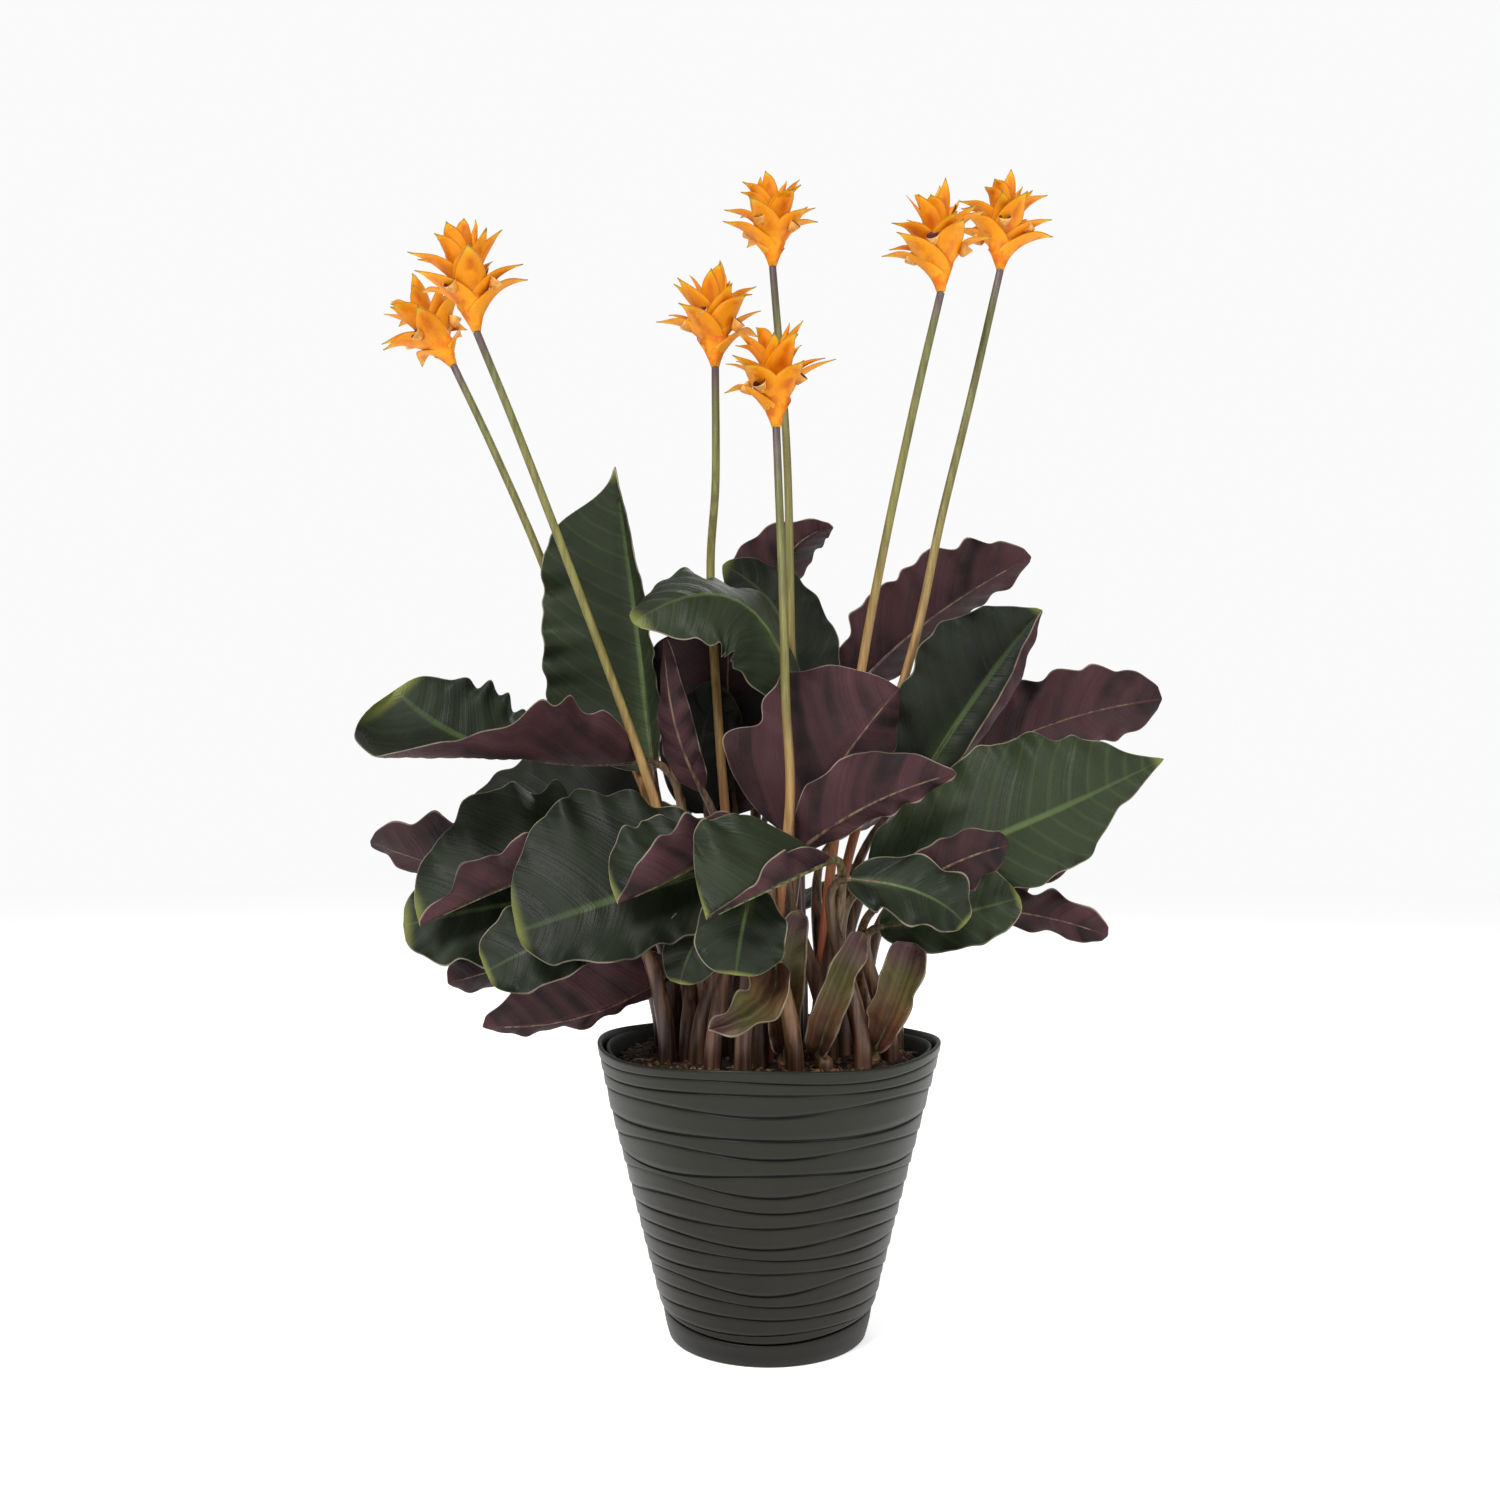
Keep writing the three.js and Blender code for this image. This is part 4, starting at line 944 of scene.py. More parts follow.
def midribAt(leaf, s):
    # place on the midrib at share s, with the directions along it, across it and out of its upper side
    base, middle, tip = (Vector(leaf[key]) for key in ("base", "mid", "tip"))
    pull = middle * 2 - (base + tip) * 0.5
    point = base * (1 - s) ** 2 + pull * (2 * s * (1 - s)) + tip * s * s
    along = ((pull - base) * (1 - s) + (tip - pull) * s).normalized()
    face = Vector(leaf["face"][0]).lerp(Vector(leaf["face"][-1]), s).normalized()
    side = along.cross(face).normalized()
    return point, along, side, side.cross(along)


def bladePoint(leaf, s, v, length, seed):
    # the blade's middle surface, its outward tilt, and what the material reads there
    shape = leafShape
    centre, along, side, normal = midribAt(leaf, s)
    t = abs(v)
    index, hand, bend = (0, -1, leaf["left"]) if v < 0 else (1, 1, leaf["right"])
    half = leaf["half"][index]

    def waver(wavelength, row, shift=0):
        return noise.noise(Vector((s * length / wavelength, hand * row, seed + shift)))

    width = bladeWidth(s, half, leaf["swell"], shape["ends"]) * trimAt(leaf["trim"][index], s)
    width *= 1 + shape["scallop"] * waver(shape["scallopLength"], *shape["scallopRow"])
    fold = math.radians(mix(bend[0], bend[1], s))
    curl = math.radians(mix(bend[2], bend[3], s)) or 0.001
    lean = fold + curl * t
    out = width * (math.sin(lean) - math.sin(fold)) / curl
    rise = width * (math.cos(fold) - math.cos(lean)) / curl
    # broad waves, then crisp ruffles that fade out away from the edge
    height, count, phase = leaf["ruffle"]
    wave = 2 * math.pi * count * s + phase + (0 if v < 0 else shape["wavePhase"])
    rise += height * (width / half) * t * t * math.sin(wave)
    drift = waver(shape["driftLength"], shape["ruffleRow"])
    ruffle = math.sin(2 * math.pi * s * length / shape["ruffleLength"] + seed + 3 * drift)
    crisp = waver(shape["crispLength"], shape["ruffleRow"]) + ruffle * (0.5 + drift)
    rise += shape["fineRuffle"] * min(width / half, 1) * t ** 4 * crisp
    # a quilt between the side veins, and a groove over the midrib
    reach = width * (shape["veinLean"][0] * t + shape["veinLean"][1] * t * t)
    veinNumber = (s * length - reach) / shape["veinSpacing"]
    inside = plateau(t, *shape["quiltAcross"]) * plateau(s, *shape["quiltAlong"])
    rise += shape["quilt"] * math.sin(2 * math.pi * veinNumber) * inside
    rise -= shape["ribGroove"] * math.exp(-((t * width / shape["ribWidth"]) ** 2)) * (1 - s)
    tilt = lean if t else 0
    skin = normal * math.cos(tilt) - side * (hand * math.sin(tilt))
    point = centre + side * (hand * out) + normal * rise
    return point, skin, (1 - t) * width, veinNumber


def stalkPath(leaf):
    # (place, radius, share of the height): foot in the soil, a rise into the blade, the rib under it
    shape = stalkShape
    steps = shape["steps"]
    base, along = midribAt(leaf, 0)[:2]
    foot = Vector((*leaf["foot"], soilTop - shape["footDepth"]))
    collar = Vector((*leaf["foot"], soilTop + shape["collar"]))
    span = (base - collar).length
    over = collar + Vector((0, 0, shape["rise"] * span))
    bend = [collar, over, base - along * (shape["lead"] * span), base]
    path = [(foot, shape["sheath"][0][1], 0)]
    for k in range(steps + 1):
        t = k / steps
        weights = ((1 - t) ** 3, 3 * t * (1 - t) ** 2, 3 * t * t * (1 - t), t**3)
        point = sum((p * w for p, w in zip(bend, weights)), Vector())
        path.append((point, readAlong(shape["sheath"], t), t))
    for k in range(1, steps + 1):
        t = k / steps
        point, _, _, normal = midribAt(leaf, t * shape["ribReach"])
        radius = mix(shape["ribRadius"], shape["ribEndRadius"], t ** shape["ribEase"])
        path.append((point - normal * (shape["ribSink"] * (1 + radius)), radius, 1))
    return path


def growLeaf(name, leaf, seed):
    # a blade of two skins, and its stalk as loose edges that the stalk tree turns into a tube
    shape = leafShape
    rows, columns = shape["smallGrid" if max(leaf["half"]) <= shape["smallHalf"] else "grid"]
    middle = Vector(leaf["mid"])
    length = (middle - Vector(leaf["base"])).length + (Vector(leaf["tip"]) - middle).length
    upper, lower = [], []
    values = {"along": [], "across": [], "edge": [], "veinNumber": []}
    for i in range(rows + 1):
        s = i / rows
        for j in range(columns + 1):
            v = math.sin(math.pi * (j / columns - 0.5))
            point, skin, edge, number = bladePoint(leaf, s, v, length, seed)
            half = mix(shape["thickness"], shape["edgeThickness"], abs(v) ** 6) / 2
            upper.append(point + skin * half)
            lower.append(point - skin * half)
            for key, value in zip(values, (s, v, edge, number)):
                values[key].append(value)
    stalk = stalkPath(leaf)
    first, count = len(lower + upper), len(stalk)
    edges = [(first + k, first + k + 1) for k in range(count - 1)]
    values = {key: numbers * 2 + [0.0] * count for key, numbers in values.items()}
    values["under"] = [1.0] * len(lower) + [0.0] * (len(upper) + count)
    values["tone"] = [leaf["fresh"]] * first + [leaf["yellow"]] * count
    for key, value in (("shade", leaf["shade"]), ("sheath", leaf["sheath"]), ("leafSeed", seed * 7.3)):
        values[key] = [value] * (first + count)
    values["thick"] = [0.0] * first + [radius * mm for _, radius, _ in stalk]
    values["up"] = [0.0] * first + [share for _, _, share in stalk]
    points = lower + upper + [point for point, _, _ in stalk]
    piece = newPiece("fine_leaf_" + name, points, sheetFaces(rows, columns), [leafMaterial], values, edges)
    runTree(piece, stalkTree, Sides=stalkShape["sides"], Stalk_Material=stalkMaterial)
    keepPiece(piece, "leaf_" + name)


for number, (name, leaf) in enumerate(leaves.items()):
    leaf = {**plainLeaf, **leaf}
    growLeaf(name, {"right": leaf["left"], **leaf}, number + 1)
print(len(leaves), "leaves grown")


# path: the stem from the soil to the head. lean: the head's axis. turn: where its lowest bract looks.
flowers = {
    "left_front": dict(
        path=[
            (-28, -8, 141), (-39, -10, 205), (-57, -14, 269),
            (-82, -10, 338), (-119, -16, 436), (-141, -22, 491),
        ],
        lean=(-0.17, -0.1, 0.98), size=1.05, turn=0.3,
    ),
    "left_back": dict(
        path=[
            (-33, 0, 141), (-46, 8, 208), (-65, 20, 275), (-92, 26, 322),
            (-117, 28, 389), (-143, 32, 448), (-164, 34, 492),
        ],
        lean=(-0.52, 0.09, 0.85), size=1, turn=1.1,
    ),
    "top": dict(
        path=[
            (-7, 12, 141), (1, 14, 213), (12, 16, 285),
            (12, 20, 367), (10, 24, 451), (3, 24, 540),
        ],
        lean=(0, 0, 1), size=0.96, turn=2,
    ),
    "middle_left": dict(
        path=[
            (-15, 7, 141), (-18, 6, 218), (-24, 4, 295),
            (-29, 21, 379), (-26, 4, 425), (-26, -2, 480),
        ],
        lean=(-0.04, 0, 1), size=1, turn=0.6,
    ),
    "middle_low": dict(
        path=[
            (0, -28, 141), (4, -35, 203), (10, -46, 264),
            (8, -42, 312), (7, -36, 359), (4, -24, 444),
        ],
        lean=(-0.04, -0.08, 1), size=1.03, turn=1.7,
    ),
    "right_front": dict(
        path=[
            (22, -17, 141), (32, -9, 237), (48, 4, 334),
            (59, 0, 394), (73, -10, 462), (84, -20, 511),
        ],
        lean=(-0.07, -0.08, 0.99), size=1, turn=2.7,
    ),
    "right_tall": dict(
        path=[
            (21, 2, 141), (42, 5, 240), (73, 10, 338),
            (89, 16, 408), (105, 22, 471), (121, 26, 539),
        ],
        lean=(0.07, 0.07, 1), size=0.98, turn=0.1,
    ),
}
stemShape = {"sides": 14, "steps": 40, "footRadius": 2.6, "topRadius": 1.9, "depth": 11}
headShape = {
    "height": 53,
    "radius": 30,
    # main bracts, then inner ones: their number, their start on the spiral, their size at foot and top
    "bracts": [(9, 0, (1, 1)), (13, 0.5, (0.9, 0.85))],
    "grid": (18, 10),
    "turnedSides": 12,
    "core": [(0, 0.3), (2.1, 0.3), (2.9, 3), (7, 13), (5.4, 27), (1.4, 40), (0, 41)],
    "cups": 3,
    "cupAngle": 1.5,
    "firstCup": -1.2,
    "angleDraw": (-0.3, 0.3),
    "cupReach": 10.5,
    "cupHeight": (15, 21),
    "cupOutline": [
        (0, 0), (1.4, 0.4), (2.4, 2.6), (3.4, 5.2),
        (3.3, 5.6), (2.8, 4.8), (1.8, 2.6), (0, 1.2),
    ],
}
bractShape = {
    "rootRadius": 1.2,
    # each pair: the value for the lowest bract, then for the topmost one
    "half": (10.5, 5.6),
    "root": (0.03, 0.46),
    "middleReach": (0.42, 0.26),
    "middleHeight": (0.31, 0.76),
    "tipReach": (1, 0.34),
    "tipHeight": (0.45, 0.96),
    # for every bract alike
    "tipEase": 2,
    "swell": (0.5, 1.35),
    "ends": (1.5, 0.2),
    "thickness": 0.7,
    "smallestTurn": 3.2,
    "cup": 0.25,
    "ripple": 0.3,
    "hook": 4.5,
    # the range of each bract's own draws
    "reachDraw": (0.94, 1.04),
    "heightDraw": (-1, 1),
    "twistDraw": (-0.2, 0.2),
    "hookDraw": (-0.4, 1),
}


def stemCurve(path, steps):
    # the same uniform spline as the solid's stem, only finer
    spots = [Vector(p) for p in path]
    spots = [spots[0] * 2 - spots[1]] + spots + [spots[-1] * 2 - spots[-2]]
    curve = []
    for k in range(steps + 1):
        spot = k / steps * (len(path) - 1)
        n = min(int(spot), len(path) - 2)
        t = spot - n
        a, b, c, d = spots[n : n + 4]
        v0, v1 = (c - a) * 0.5, (d - b) * 0.5
        curve.append((b * 2 - c * 2 + v0 + v1) * t**3 + (c * 3 - b * 3 - v0 * 2 - v1) * t**2 + v0 * t + b)
    return curve


def growStem(name, flower):
    shape = stemShape
    steps = shape["steps"]
    spots = stemCurve(flower["path"], steps)
    foot = Vector((spots[0].x, spots[0].y, soilTop - shape["depth"]))
    shares = [0.0] + [k / steps for k in range(steps + 1)]
    radii = [mix(shape["footRadius"], shape["topRadius"], share) * mm for share in shares]
    edges = [(k, k + 1) for k in range(steps + 1)]
    values = {"thick": radii, "up": shares}
    piece = newPiece("fine_stem_" + name, [foot] + spots, [], [stemMaterial], values, edges)
    runTree(piece, stalkTree, Sides=shape["sides"], Stalk_Material=stemMaterial)
    keepPiece(piece, "stem_" + name)
    return spots[-1]


def roundPlace(centre, axis, east, size=1):
    # a function that gives the place at a radius, height and angle about an axis
    north = axis.cross(east)

    def at(radius, height, angle):
        outward = east * (radius * math.cos(angle)) + north * (radius * math.sin(angle))
        return centre + (axis * height + outward) * size

    return at


class MeshParts:
    # collects sheets and cups of one head before they become one mesh
    def __init__(self, *labels):
        self.points, self.faces, self.slots = [], [], []
        self.values = {label: [] for label in labels}

    def add(self, points, faces, slotNumber, **values):
        first = len(self.points)
        self.points += points
        self.faces += [tuple(first + k for k in face) for face in faces]
        self.slots += [slotNumber] * len(faces)
        for label, numbers in self.values.items():
            numbers += values.get(label, [0.0] * len(points))


def addBract(parts, at, t, angle, scale, draw):
    # a pointed sheet that wraps round the head at its root and spreads at its tip
    shape = bractShape
    height, radius = headShape["height"], headShape["radius"]
    rows, columns = headShape["grid"]

    def between(key, share=t):
        return mix(shape[key][0], shape[key][1], share)

    root = (shape["rootRadius"], between("root") * height)
    middle = (between("middleReach") * radius * scale, between("middleHeight") * height)
    reach = between("tipReach", t ** shape["tipEase"]) * between("reachDraw", draw())
    tip = (reach * radius * scale, between("tipHeight") * height + between("heightDraw", draw()))
    pull = tuple(2 * m - (r + e) / 2 for r, m, e in zip(root, middle, tip))
    twist = between("twistDraw", draw())
    hook = shape["hook"] * between("hookDraw", draw())
    upper, lower, along, across, edge = [], [], [], [], []

    def spot(s, v, lift):
        weights = ((1 - s) ** 2, 2 * s * (1 - s), s * s)
        reach, rise = (sum(w * p for w, p in zip(weights, three)) for three in zip(root, pull, tip))
        rise -= hook * smooth(0.6, 1, s) * s
        width = bladeWidth(s, between("half") * scale, shape["swell"], shape["ends"])
        bend = angle + twist * s * s + v * width / max(reach, shape["smallestTurn"])
        cup = shape["cup"] * width * v * v * smooth(0.2, 0.7, s)
        ripple = shape["ripple"] * math.sin(7 * v + 3 * angle) * smooth(0.1, 0.5, s) * (1 - s)
        slope = smooth(0.15, 0.8, s)
        reach += (ripple + lift) * (slope - 1) - cup * (1 - slope)
        rise += cup * slope + (ripple + lift) * slope
        return at(max(reach, 0.3), rise, bend), width

    for i in range(rows + 1):
        s = i / rows
        for j in range(columns + 1):
            v = 2 * j / columns - 1
            half = shape["thickness"] / 2 * mix(1, 0.4, max(abs(v) ** 4, s**4))
            point, width = spot(s, v, half)
            upper.append(point)
            lower.append(spot(s, v, -half)[0])
            along.append(s)
            across.append(v)
            edge.append(min((1 - abs(v)) * width, (1 - s) * height * 0.8))
    values = {"along": along * 2, "across": across * 2, "edge": edge * 2}
    parts.add(upper + lower, sheetFaces(rows, columns), 0, **values)


def addTurned(parts, outline, at, slotNumber):
    # a small turned body: outline of radius and height from the axis and back to it
    sides = headShape["turnedSides"]
    counts = [sides if radius else 1 for radius, _ in outline]
    points, along = [], []
    for k, ((radius, height), count) in enumerate(zip(outline, counts)):
        points += [at(radius, height, 2 * math.pi * n / sides) for n in range(count)]
        along += [k / (len(outline) - 1)] * count
    # far from any edge, so that no rim line shows
    parts.add(points, joinRings(counts), slotNumber, along=along, edge=[9.0] * len(points))


def addCup(parts, at, angle, rise):
    # a small open floret that leans out between the bracts
    centre = at(headShape["cupReach"], rise, angle)
    outward = (at(1, 0, angle) - at(0, 0, angle)).normalized()
    lift = (at(0, 1, 0) - at(0, 0, 0)).normalized()
    aim = (outward + lift).normalized()
    addTurned(parts, headShape["cupOutline"], roundPlace(centre, aim, aim.orthogonal().normalized()), 1)


def growHead(name, flower, base, seed):
    shape = headShape
    draw = random.Random(seed)
    axis = Vector(flower["lean"]).normalized()
    at = roundPlace(base, axis, Vector((0, 1, 0)).cross(axis).normalized(), flower["size"])
    parts = MeshParts("along", "across", "edge")
    addTurned(parts, shape["core"], at, 0)
    for count, offset, sizes in shape["bracts"]:
        for k in range(count):
            t = k / (count - 1)
            angle = flower["turn"] + (k + offset) * goldenAngle
            addBract(parts, at, t, angle, mix(*sizes, t), draw.random)
    for k in range(shape["cups"]):
        angle = (k + shape["firstCup"]) * shape["cupAngle"] - math.pi / 2
        angle += draw.uniform(*shape["angleDraw"])
        addCup(parts, at, angle, draw.uniform(*shape["cupHeight"]))
    slots = [bractMaterial, throatMaterial]
    piece = newPiece("fine_head_" + name, parts.points, parts.faces, slots, parts.values, (), parts.slots)
    keepPiece(piece, "head_" + name)


for number, (name, flower) in enumerate(flowers.items()):
    growHead(name, flower, growStem(name, flower), number + 11)
print(len(flowers), "flowers grown")

potShape = {
    "around": 192,
    # the rim wavers a little: by how much, between which heights it sets in, number and phase of its waves
    "rimWave": 1.1,
    "rimFade": (110, 142),
    "rimTurns": ((3, 0.8), (4, 2.1)),
    "seamWave": 2.2,
    "seamTurns": (2, 1.8),
    "seamHeight": 14.9,
    "wallTop": 143.4,
    # (height, radius) of the wall's ledges
    "outer": [(14.8, 52.4), (83, 69.6), (138, 84), (143.4, 85.5)],
    # each groove: height at the front, then its rise a little way round on either side
    "grooves": [
        (16.5, 0.5), (23.6, 1.5), (31.5, 1.2), (36.6, 5), (46.8, 0.5), (54.5, 0.8), (60.3, 3), (69.5, 2.5),
        (77, 4.5), (85.6, 5), (95.6, -2.2), (102.7, 4.8), (113, -1), (123.4, 4), (132.5, 1.5), (139, 0.3),
    ],
    "grooveTurns": 4,
    # height, number and phase step of the waves in which every groove wanders
    "grooveWander": (0.8, 3, 1.9),
    "grooveDepth": 0.9,
    "smallestBand": 1.6,
    "fullBand": 7,
    "layerStep": 0.8,
    "ledgeEase": 0.8,
    # across one band, from low to high: share of its height, share of the groove, share of the ledge
    "band": [
        (0, 1, 0), (0.05, 0.75, 0), (0.1, 0, 1), (0.3, 0, 1),
        (0.5, 0, 1), (0.7, 0, 1), (0.9, 0, 1), (0.96, 0.3, 1),
    ],
    # outlines, here and below: radius and height, then where they aren't 0 the painted shade of grooves,
    # seam and inside, and the share that the point takes of the seam's wave
    "foot": [
        (0, 2.3), (44, 2.3), (46.2, 2.4), (46.8, 4),
        (48.8, 13.2, 1, 0.5), (49.4, 14.4, 1, 1), (51.9, 14.6, 0.6, 1),
    ],
    "rim": [
        (85.45, 143.4), (85.5, 143.9), (85.2, 144.35), (84.6, 144.5),
        (83.9, 144.4), (83.5, 144), (83.2, 142.8), (81.9, 138),
    ],
    "inside": [(74.3, 110, 0.3), (66, 78, 0.3), (56, 40, 0.3), (47, 6.5, 0.3), (45, 4.6, 0.3), (0, 4.6)],
}
saucerShape = {
    "outside": [(0, 0), (47.2, 0), (48.4, 0.25), (49, 0.9), (50.2, 5), (51.2, 9.4)],
    "lip": [(52.1, 13, 0, 1), (51.9, 13.6, 0, 1), (51.2, 13.75, 0, 1), (50.4, 13.5, 0, 1)],
    "inside": [(49.6, 10), (48.4, 5), (47.2, 2.1), (46, 2), (0, 2)],
}
linerShape = {
    "floor": [(0, 4.9), (0, 6.3)],
    "outside": [(43, 4.9), (43.8, 5.4), (52.5, 38), (61.5, 70), (70.6, 104), (79.6, 137.4), (80.6, 139.2)],
    "rim": [(81, 140.4), (81.2, 141.4), (80.9, 142), (79.9, 142.1), (79.4, 141.7), (78.9, 139.8)],
    "inside": [(78.2, 137.4), (69.2, 104), (60.2, 70), (51.2, 38), (42.6, 6.6), (41.6, 6.3)],
}


def rimWave(radius, height, turn):
    share = smooth(*potShape["rimFade"], height)
    outWave, upWave = (math.sin(count * turn + phase) for count, phase in potShape["rimTurns"])
    reach = share * potShape["rimWave"]
    return radius + reach * outWave, height + reach * upWave


def seamLift(turn):
    count, phase = potShape["seamTurns"]
    return potShape["seamWave"] * math.sin(count * turn + phase)


def grooveHeight(k, turn):
    # front is at -90 degrees, so the cosine is measured from there
    shape = potShape
    height, rise = shape["grooves"][k]
    swing = turn + math.pi / 2
    wander, count, phase = shape["grooveWander"]
    arch = rise * (1 - math.cos(shape["grooveTurns"] * swing)) / 2
    return height + arch + wander * math.sin(count * swing + phase * k)


def layeredWall(turn):
    # the wall between seam and rim as (radius, height, painted groove shade), one shingled band above
    # another
    shape = potShape
    levels = [shape["seamHeight"] + seamLift(turn)]
    for k in range(len(shape["grooves"])):
        levels.append(max(grooveHeight(k, turn), levels[-1] + shape["smallestBand"]))
    levels.append(shape["wallTop"])
    rows = []
    for k, (low, high) in enumerate(zip(levels, levels[1:])):
        full = min((high - low) / shape["fullBand"], 1)
        for share, inward, ledge in shape["band"]:
            height = mix(low, high, share)
            # the first band has no groove, and the last one has none at its top
            grooved = k > 0 if share < 0.5 else 0 < k < len(levels) - 2
            radius = readAlong(shape["outer"], height)
            radius += shape["layerStep"] * full * (1 - share) ** shape["ledgeEase"] * ledge
            radius -= shape["grooveDepth"] * full * inward * grooved
            rows.append((radius, height, inward))
    return rows


def turnedPiece(name, outlineAt, material, node):
    # outlineAt(turn) gives the same number of (radius, height, shade) rows all round, axis to axis
    turns = [2 * math.pi * n / potShape["around"] for n in range(potShape["around"])]
    points, shades, counts = [], [], []
    for ring in zip(*[outlineAt(turn) for turn in turns]):
        ring = ring if ring[0][0] else ring[:1]
        counts.append(len(ring))
        points += [(r * math.cos(turn), r * math.sin(turn), h) for turn, (r, h, _) in zip(turns, ring)]
        shades += [float(shade) for _, _, shade in ring]
    piece = newPiece(name, points, joinRings(counts), [material], {"paintedShade": shades})
    keepPiece(piece, node)
    return piece


def fullRows(rows, turn):
    # rows with their groove shade, at a height that follows the seam's wave
    lift = seamLift(turn)
    whole = [(*row, 0, 0)[:4] for row in rows]
    return [(radius, height + share * lift, shade) for radius, height, shade, share in whole]


def wavedRows(rows, turn):
    return [(*rimWave(radius, height, turn), shade) for radius, height, shade in rows]


def outerPotOutline(turn):
    foot, rim, inside = (fullRows(potShape[key], turn) for key in ("foot", "rim", "inside"))
    return foot + wavedRows(layeredWall(turn) + rim, turn) + inside


def saucerOutline(turn):
    shape = saucerShape
    return fullRows(shape["outside"] + shape["lip"] + shape["inside"], turn)


def linerOutline(turn):
    shape = linerShape
    under, over = fullRows(shape["floor"], turn)
    wall = fullRows(shape["outside"] + shape["rim"] + shape["inside"], turn)
    return [under] + wavedRows(wall, turn) + [over]


turnedPiece("fine_saucer", saucerOutline, saucerMaterial, "drip_saucer")
turnedPiece("fine_outer_pot", outerPotOutline, potMaterial, "outer_pot")
turnedPiece("fine_liner", linerOutline, linerMaterial, "inner_pot")

soilShape = {
    "rings": 44,
    "edge": 133.8,
    "middle": 139.3,
    "edgeRadius": 76.3,
    # between which radii the top slopes down to its edge
    "slope": (66, 77),
    # radius and height of the underside and the side
    "under": [(0, 6.8), (41.6, 6.8), (75.7, 131)],
    "roughness": 1.5,
    # each size of lump: its width and its share of the roughness
    "lumps": [(9, 1), (3.2, 0.7), (1.4, 0.5)],
    "calmEdge": 1 / 12,
}


def soilOutline(turn):
    shape = soilShape
    rows = fullRows(shape["under"], turn)
    for k in range(shape["rings"]):
        share = 1 - k / shape["rings"]
        radius = shape["edgeRadius"] * share
        height = mix(shape["middle"], shape["edge"], smooth(*shape["slope"], radius))
        where = Vector((radius * math.cos(turn), radius * math.sin(turn), 0))
        bump = sum(weight * noise.noise(where / width) for width, weight in shape["lumps"])
        calm = min(1, (1 - share) / shape["calmEdge"])
        rows.append((radius, height + shape["roughness"] * bump * calm, 0))
    return rows + [(0, shape["middle"], 0)]


soilPiece = turnedPiece("fine_soil", soilOutline, soilMaterial, "soil")
print("pot and soil made")

scatterKinds = {
    "bark_crumbs": {
        "Spacing": 0.0034, "Density": 42000.0, "Smallest": 0.45, "Largest": 1.35, "Tilt": 0.7, "Seed": 5,
    },
    "coir_fibres": {
        "Spacing": 0.0075, "Density": 9000.0, "Smallest": 0.5, "Largest": 1.3, "Tilt": 0.25, "Seed": 9,
    },
}


crumbShape = {
    "sides": 6,
    "ends": (0.9, -0.8),
    # height and radius of the two rings between the ends
    "rings": ((0.5, 1.3), (-0.4, 1.5)),
    "stretch": (1.5, 0.85),
    "radiusDraw": (0.75, 1.2),
    "heightDraw": (-0.25, 0.25),
}
fibreShape = {"steps": 6, "radius": 0.16, "length": 7, "sway": 2.2, "arch": 0.9, "lift": 0.6, "bend": 3}


def makeCrumb():
    # one lump of bark, longer than it is thick
    shape = crumbShape
    draw = random.Random(3)
    sides = shape["sides"]
    turns = [2 * math.pi * k / sides for k in range(sides)]
    wide, narrow = shape["stretch"]
    top, bottom = shape["ends"]
    points = [(0, 0, top)]
    for height, radius in shape["rings"]:
        for turn in turns:
            far = radius * draw.uniform(*shape["radiusDraw"])
            rise = height + draw.uniform(*shape["heightDraw"])
            points.append((wide * far * math.cos(turn), narrow * far * math.sin(turn), rise))
    points.append((0, 0, bottom))
    return newPiece("crumbPattern", points, [face[::-1] for face in joinRings([1, sides, sides, 1])], [])


def makeFibre():
    # a short bent thread, three-sided
    shape = fibreShape
    steps, radius = shape["steps"], shape["radius"]
    points, faces = [], []
    for k in range(steps + 1):
        t = k / steps - 0.5
        angle = shape["bend"] * t
        x, y = shape["length"] * t, shape["sway"] * math.sin(angle)
        z = shape["lift"] + shape["arch"] * math.cos(angle)
        points += [(x, y + radius * math.cos(a), z + radius * math.sin(a)) for a in (0, 2.1, 4.2)]
    for k in range(0, 3 * steps, 3):
        faces += [(k + n, k + (n + 1) % 3, k + 3 + (n + 1) % 3, k + 3 + n) for n in range(3)]
    last = 3 * steps
    return newPiece("fibrePattern", points, faces + [(2, 1, 0), (last, last + 1, last + 2)], [])


def strew(name, pattern, material):
    piece = linkObject(name, soilPiece.data.copy())
    runTree(piece, scatterTree, Crumb=pattern, Crumb_Material=material, **scatterKinds[name])
    bpy.data.objects.remove(pattern)
    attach(piece, body)


strew("bark_crumbs", makeCrumb(), chipMaterial)
strew("coir_fibres", makeFibre(), fibreMaterial)
print("crumbs strewn")

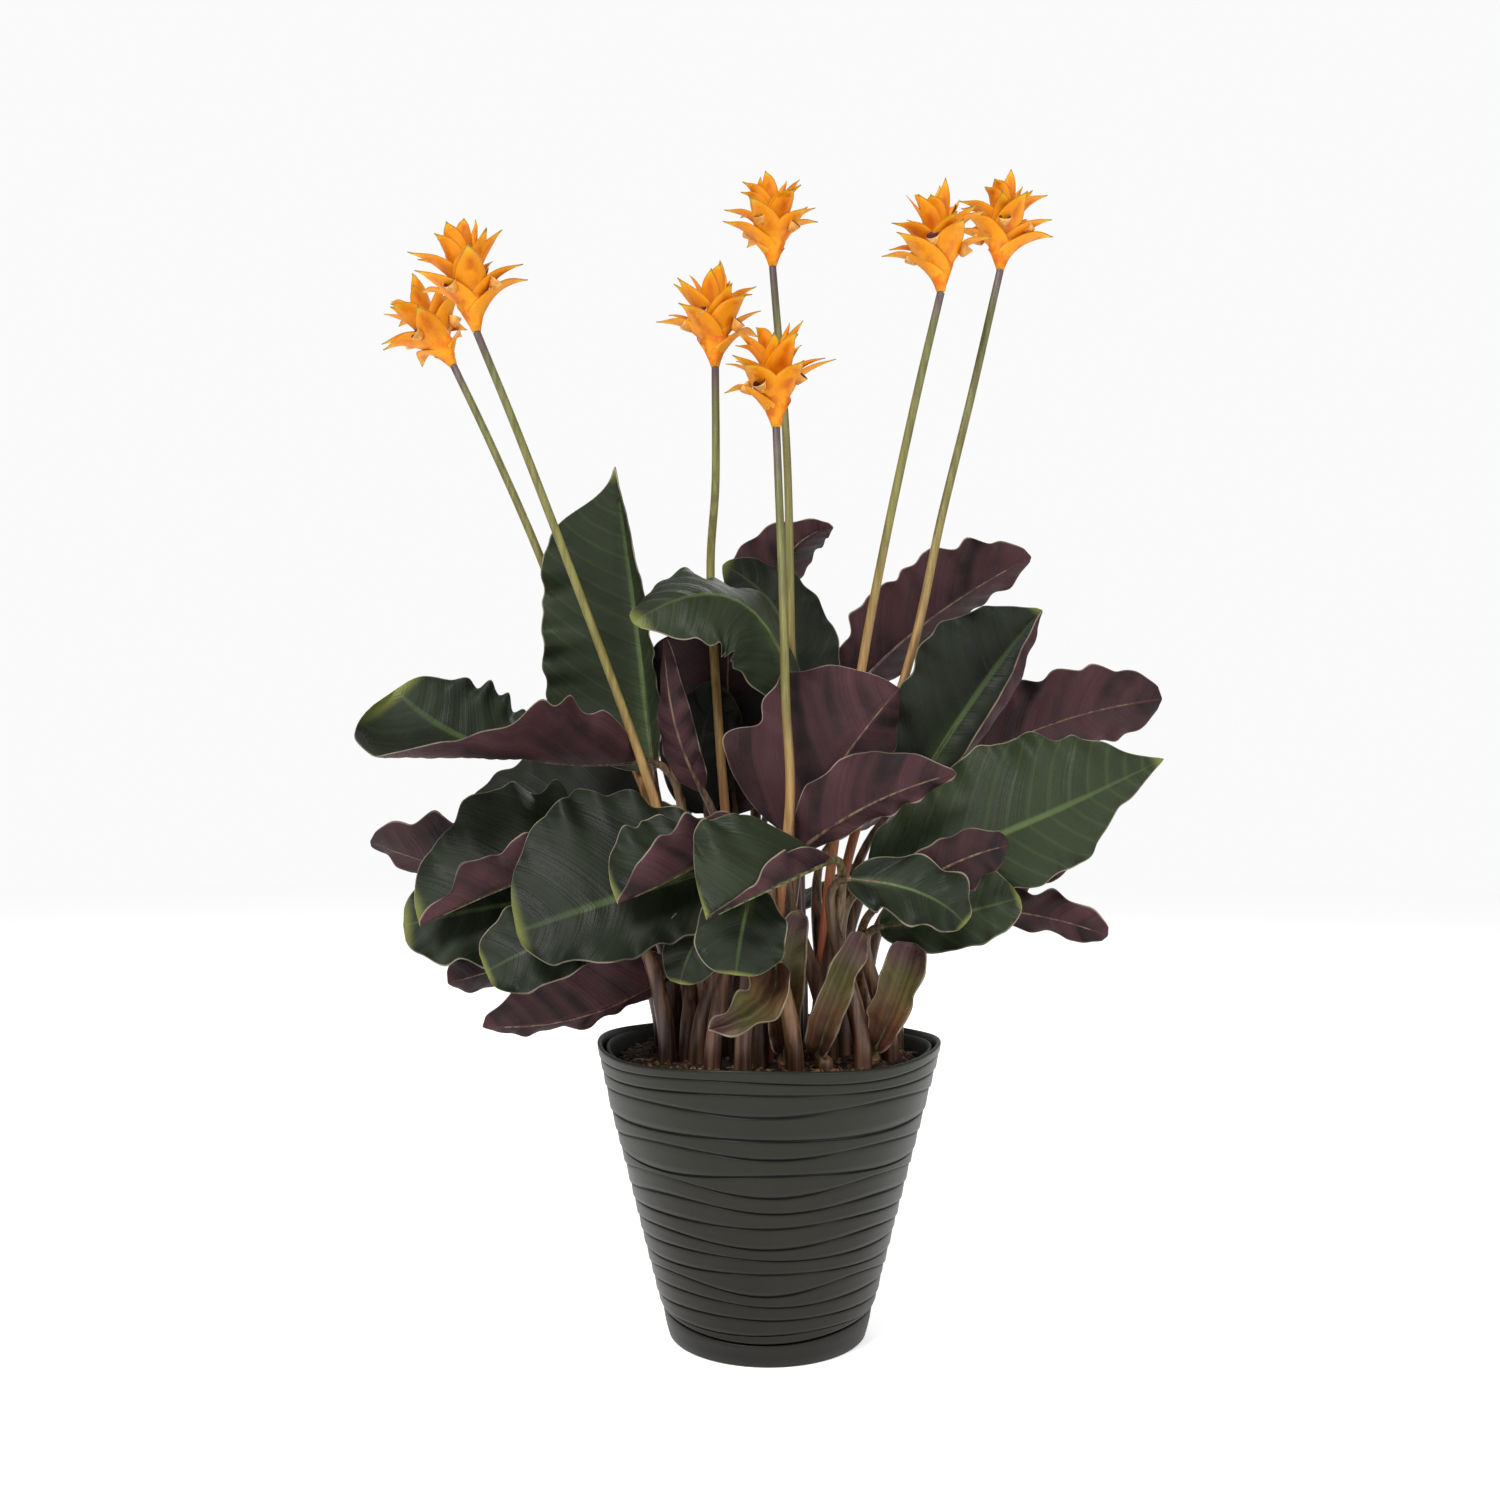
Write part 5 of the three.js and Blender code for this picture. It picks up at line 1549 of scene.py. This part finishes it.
studio = {
    "floorRadius": 4.0,
    "floorSides": 96,
    "floorColour": (0.92, 0.92, 0.92, 1.0),
    "floorGlow": 0.61,
    "skySeen": 0.96,
    "skyLight": 0.4,
    # place, size and power of each lamp, and where they all point
    "lamps": {
        "keyLamp": ((-0.7, -1.2, 1.5), 0.7, 27.0),
        "fillLamp": ((1.2, -1.1, 0.8), 0.8, 7.0),
        "backLamp": ((0.3, 1.4, 1.5), 0.9, 9.0),
    },
    "aim": (0, 0, 0.28),
    "cameraPlace": (-0.0087, -0.7, 0.2645),
    "camera": {"sensor_width": 36, "lens": 33.6, "shift_y": 0.0333, "clip_start": 0.01},
}


def makeFloor():
    count, radius = studio["floorSides"], studio["floorRadius"]
    turns = [2 * math.pi * k / count for k in range(count)]
    points = [(radius * math.cos(turn), radius * math.sin(turn), 0) for turn in turns]
    mesh = bpy.data.meshes.new("floor")
    mesh.from_pydata(points, [], [tuple(range(count))])
    look = {"Base_Color": studio["floorColour"], "Emission_Color": studio["floorColour"]}
    mesh.materials.append(newMaterial("paleFloor", 0.8, Emission_Strength=studio["floorGlow"], **look)[0])
    linkObject("floor", mesh)


def makeLights():
    # a sky that looks pale behind the plant but lights it only softly, and three round lamps
    world = bpy.data.worlds.new("studioSky")
    world.use_nodes = True
    tree = world.node_tree
    sky = tree.nodes["Background"]
    sky.inputs["Color"].default_value = (1, 1, 1, 1)
    seen = place(tree, "ShaderNodeLightPath").outputs["Is Camera Ray"]
    inputs = {"Value": seen, "To Min": studio["skyLight"], "To Max": studio["skySeen"]}
    tree.links.new(result(tree, "ShaderNodeMapRange", inputs), sky.inputs["Strength"])
    bpy.context.scene.world = world
    for name, (spot, size, power) in studio["lamps"].items():
        lamp = bpy.data.lights.new(name, "AREA")
        lamp.shape = "DISK"
        lamp.size = size
        lamp.energy = power
        holder = linkObject(name, lamp)
        holder.location = spot
        holder.rotation_euler = (Vector(studio["aim"]) - Vector(spot)).to_track_quat("-Z", "Y").to_euler()


def makeCamera():
    data = bpy.data.cameras.new("camera")
    for key, value in studio["camera"].items():
        setattr(data, key, value)
    camera = linkObject("camera", data)
    camera.location = studio["cameraPlace"]
    camera.rotation_euler = (math.pi / 2, 0, 0)
    bpy.context.scene.camera = camera


makeFloor()
makeLights()
makeCamera()
bpy.context.scene.view_settings.view_transform = "Standard"
print("studio ready")
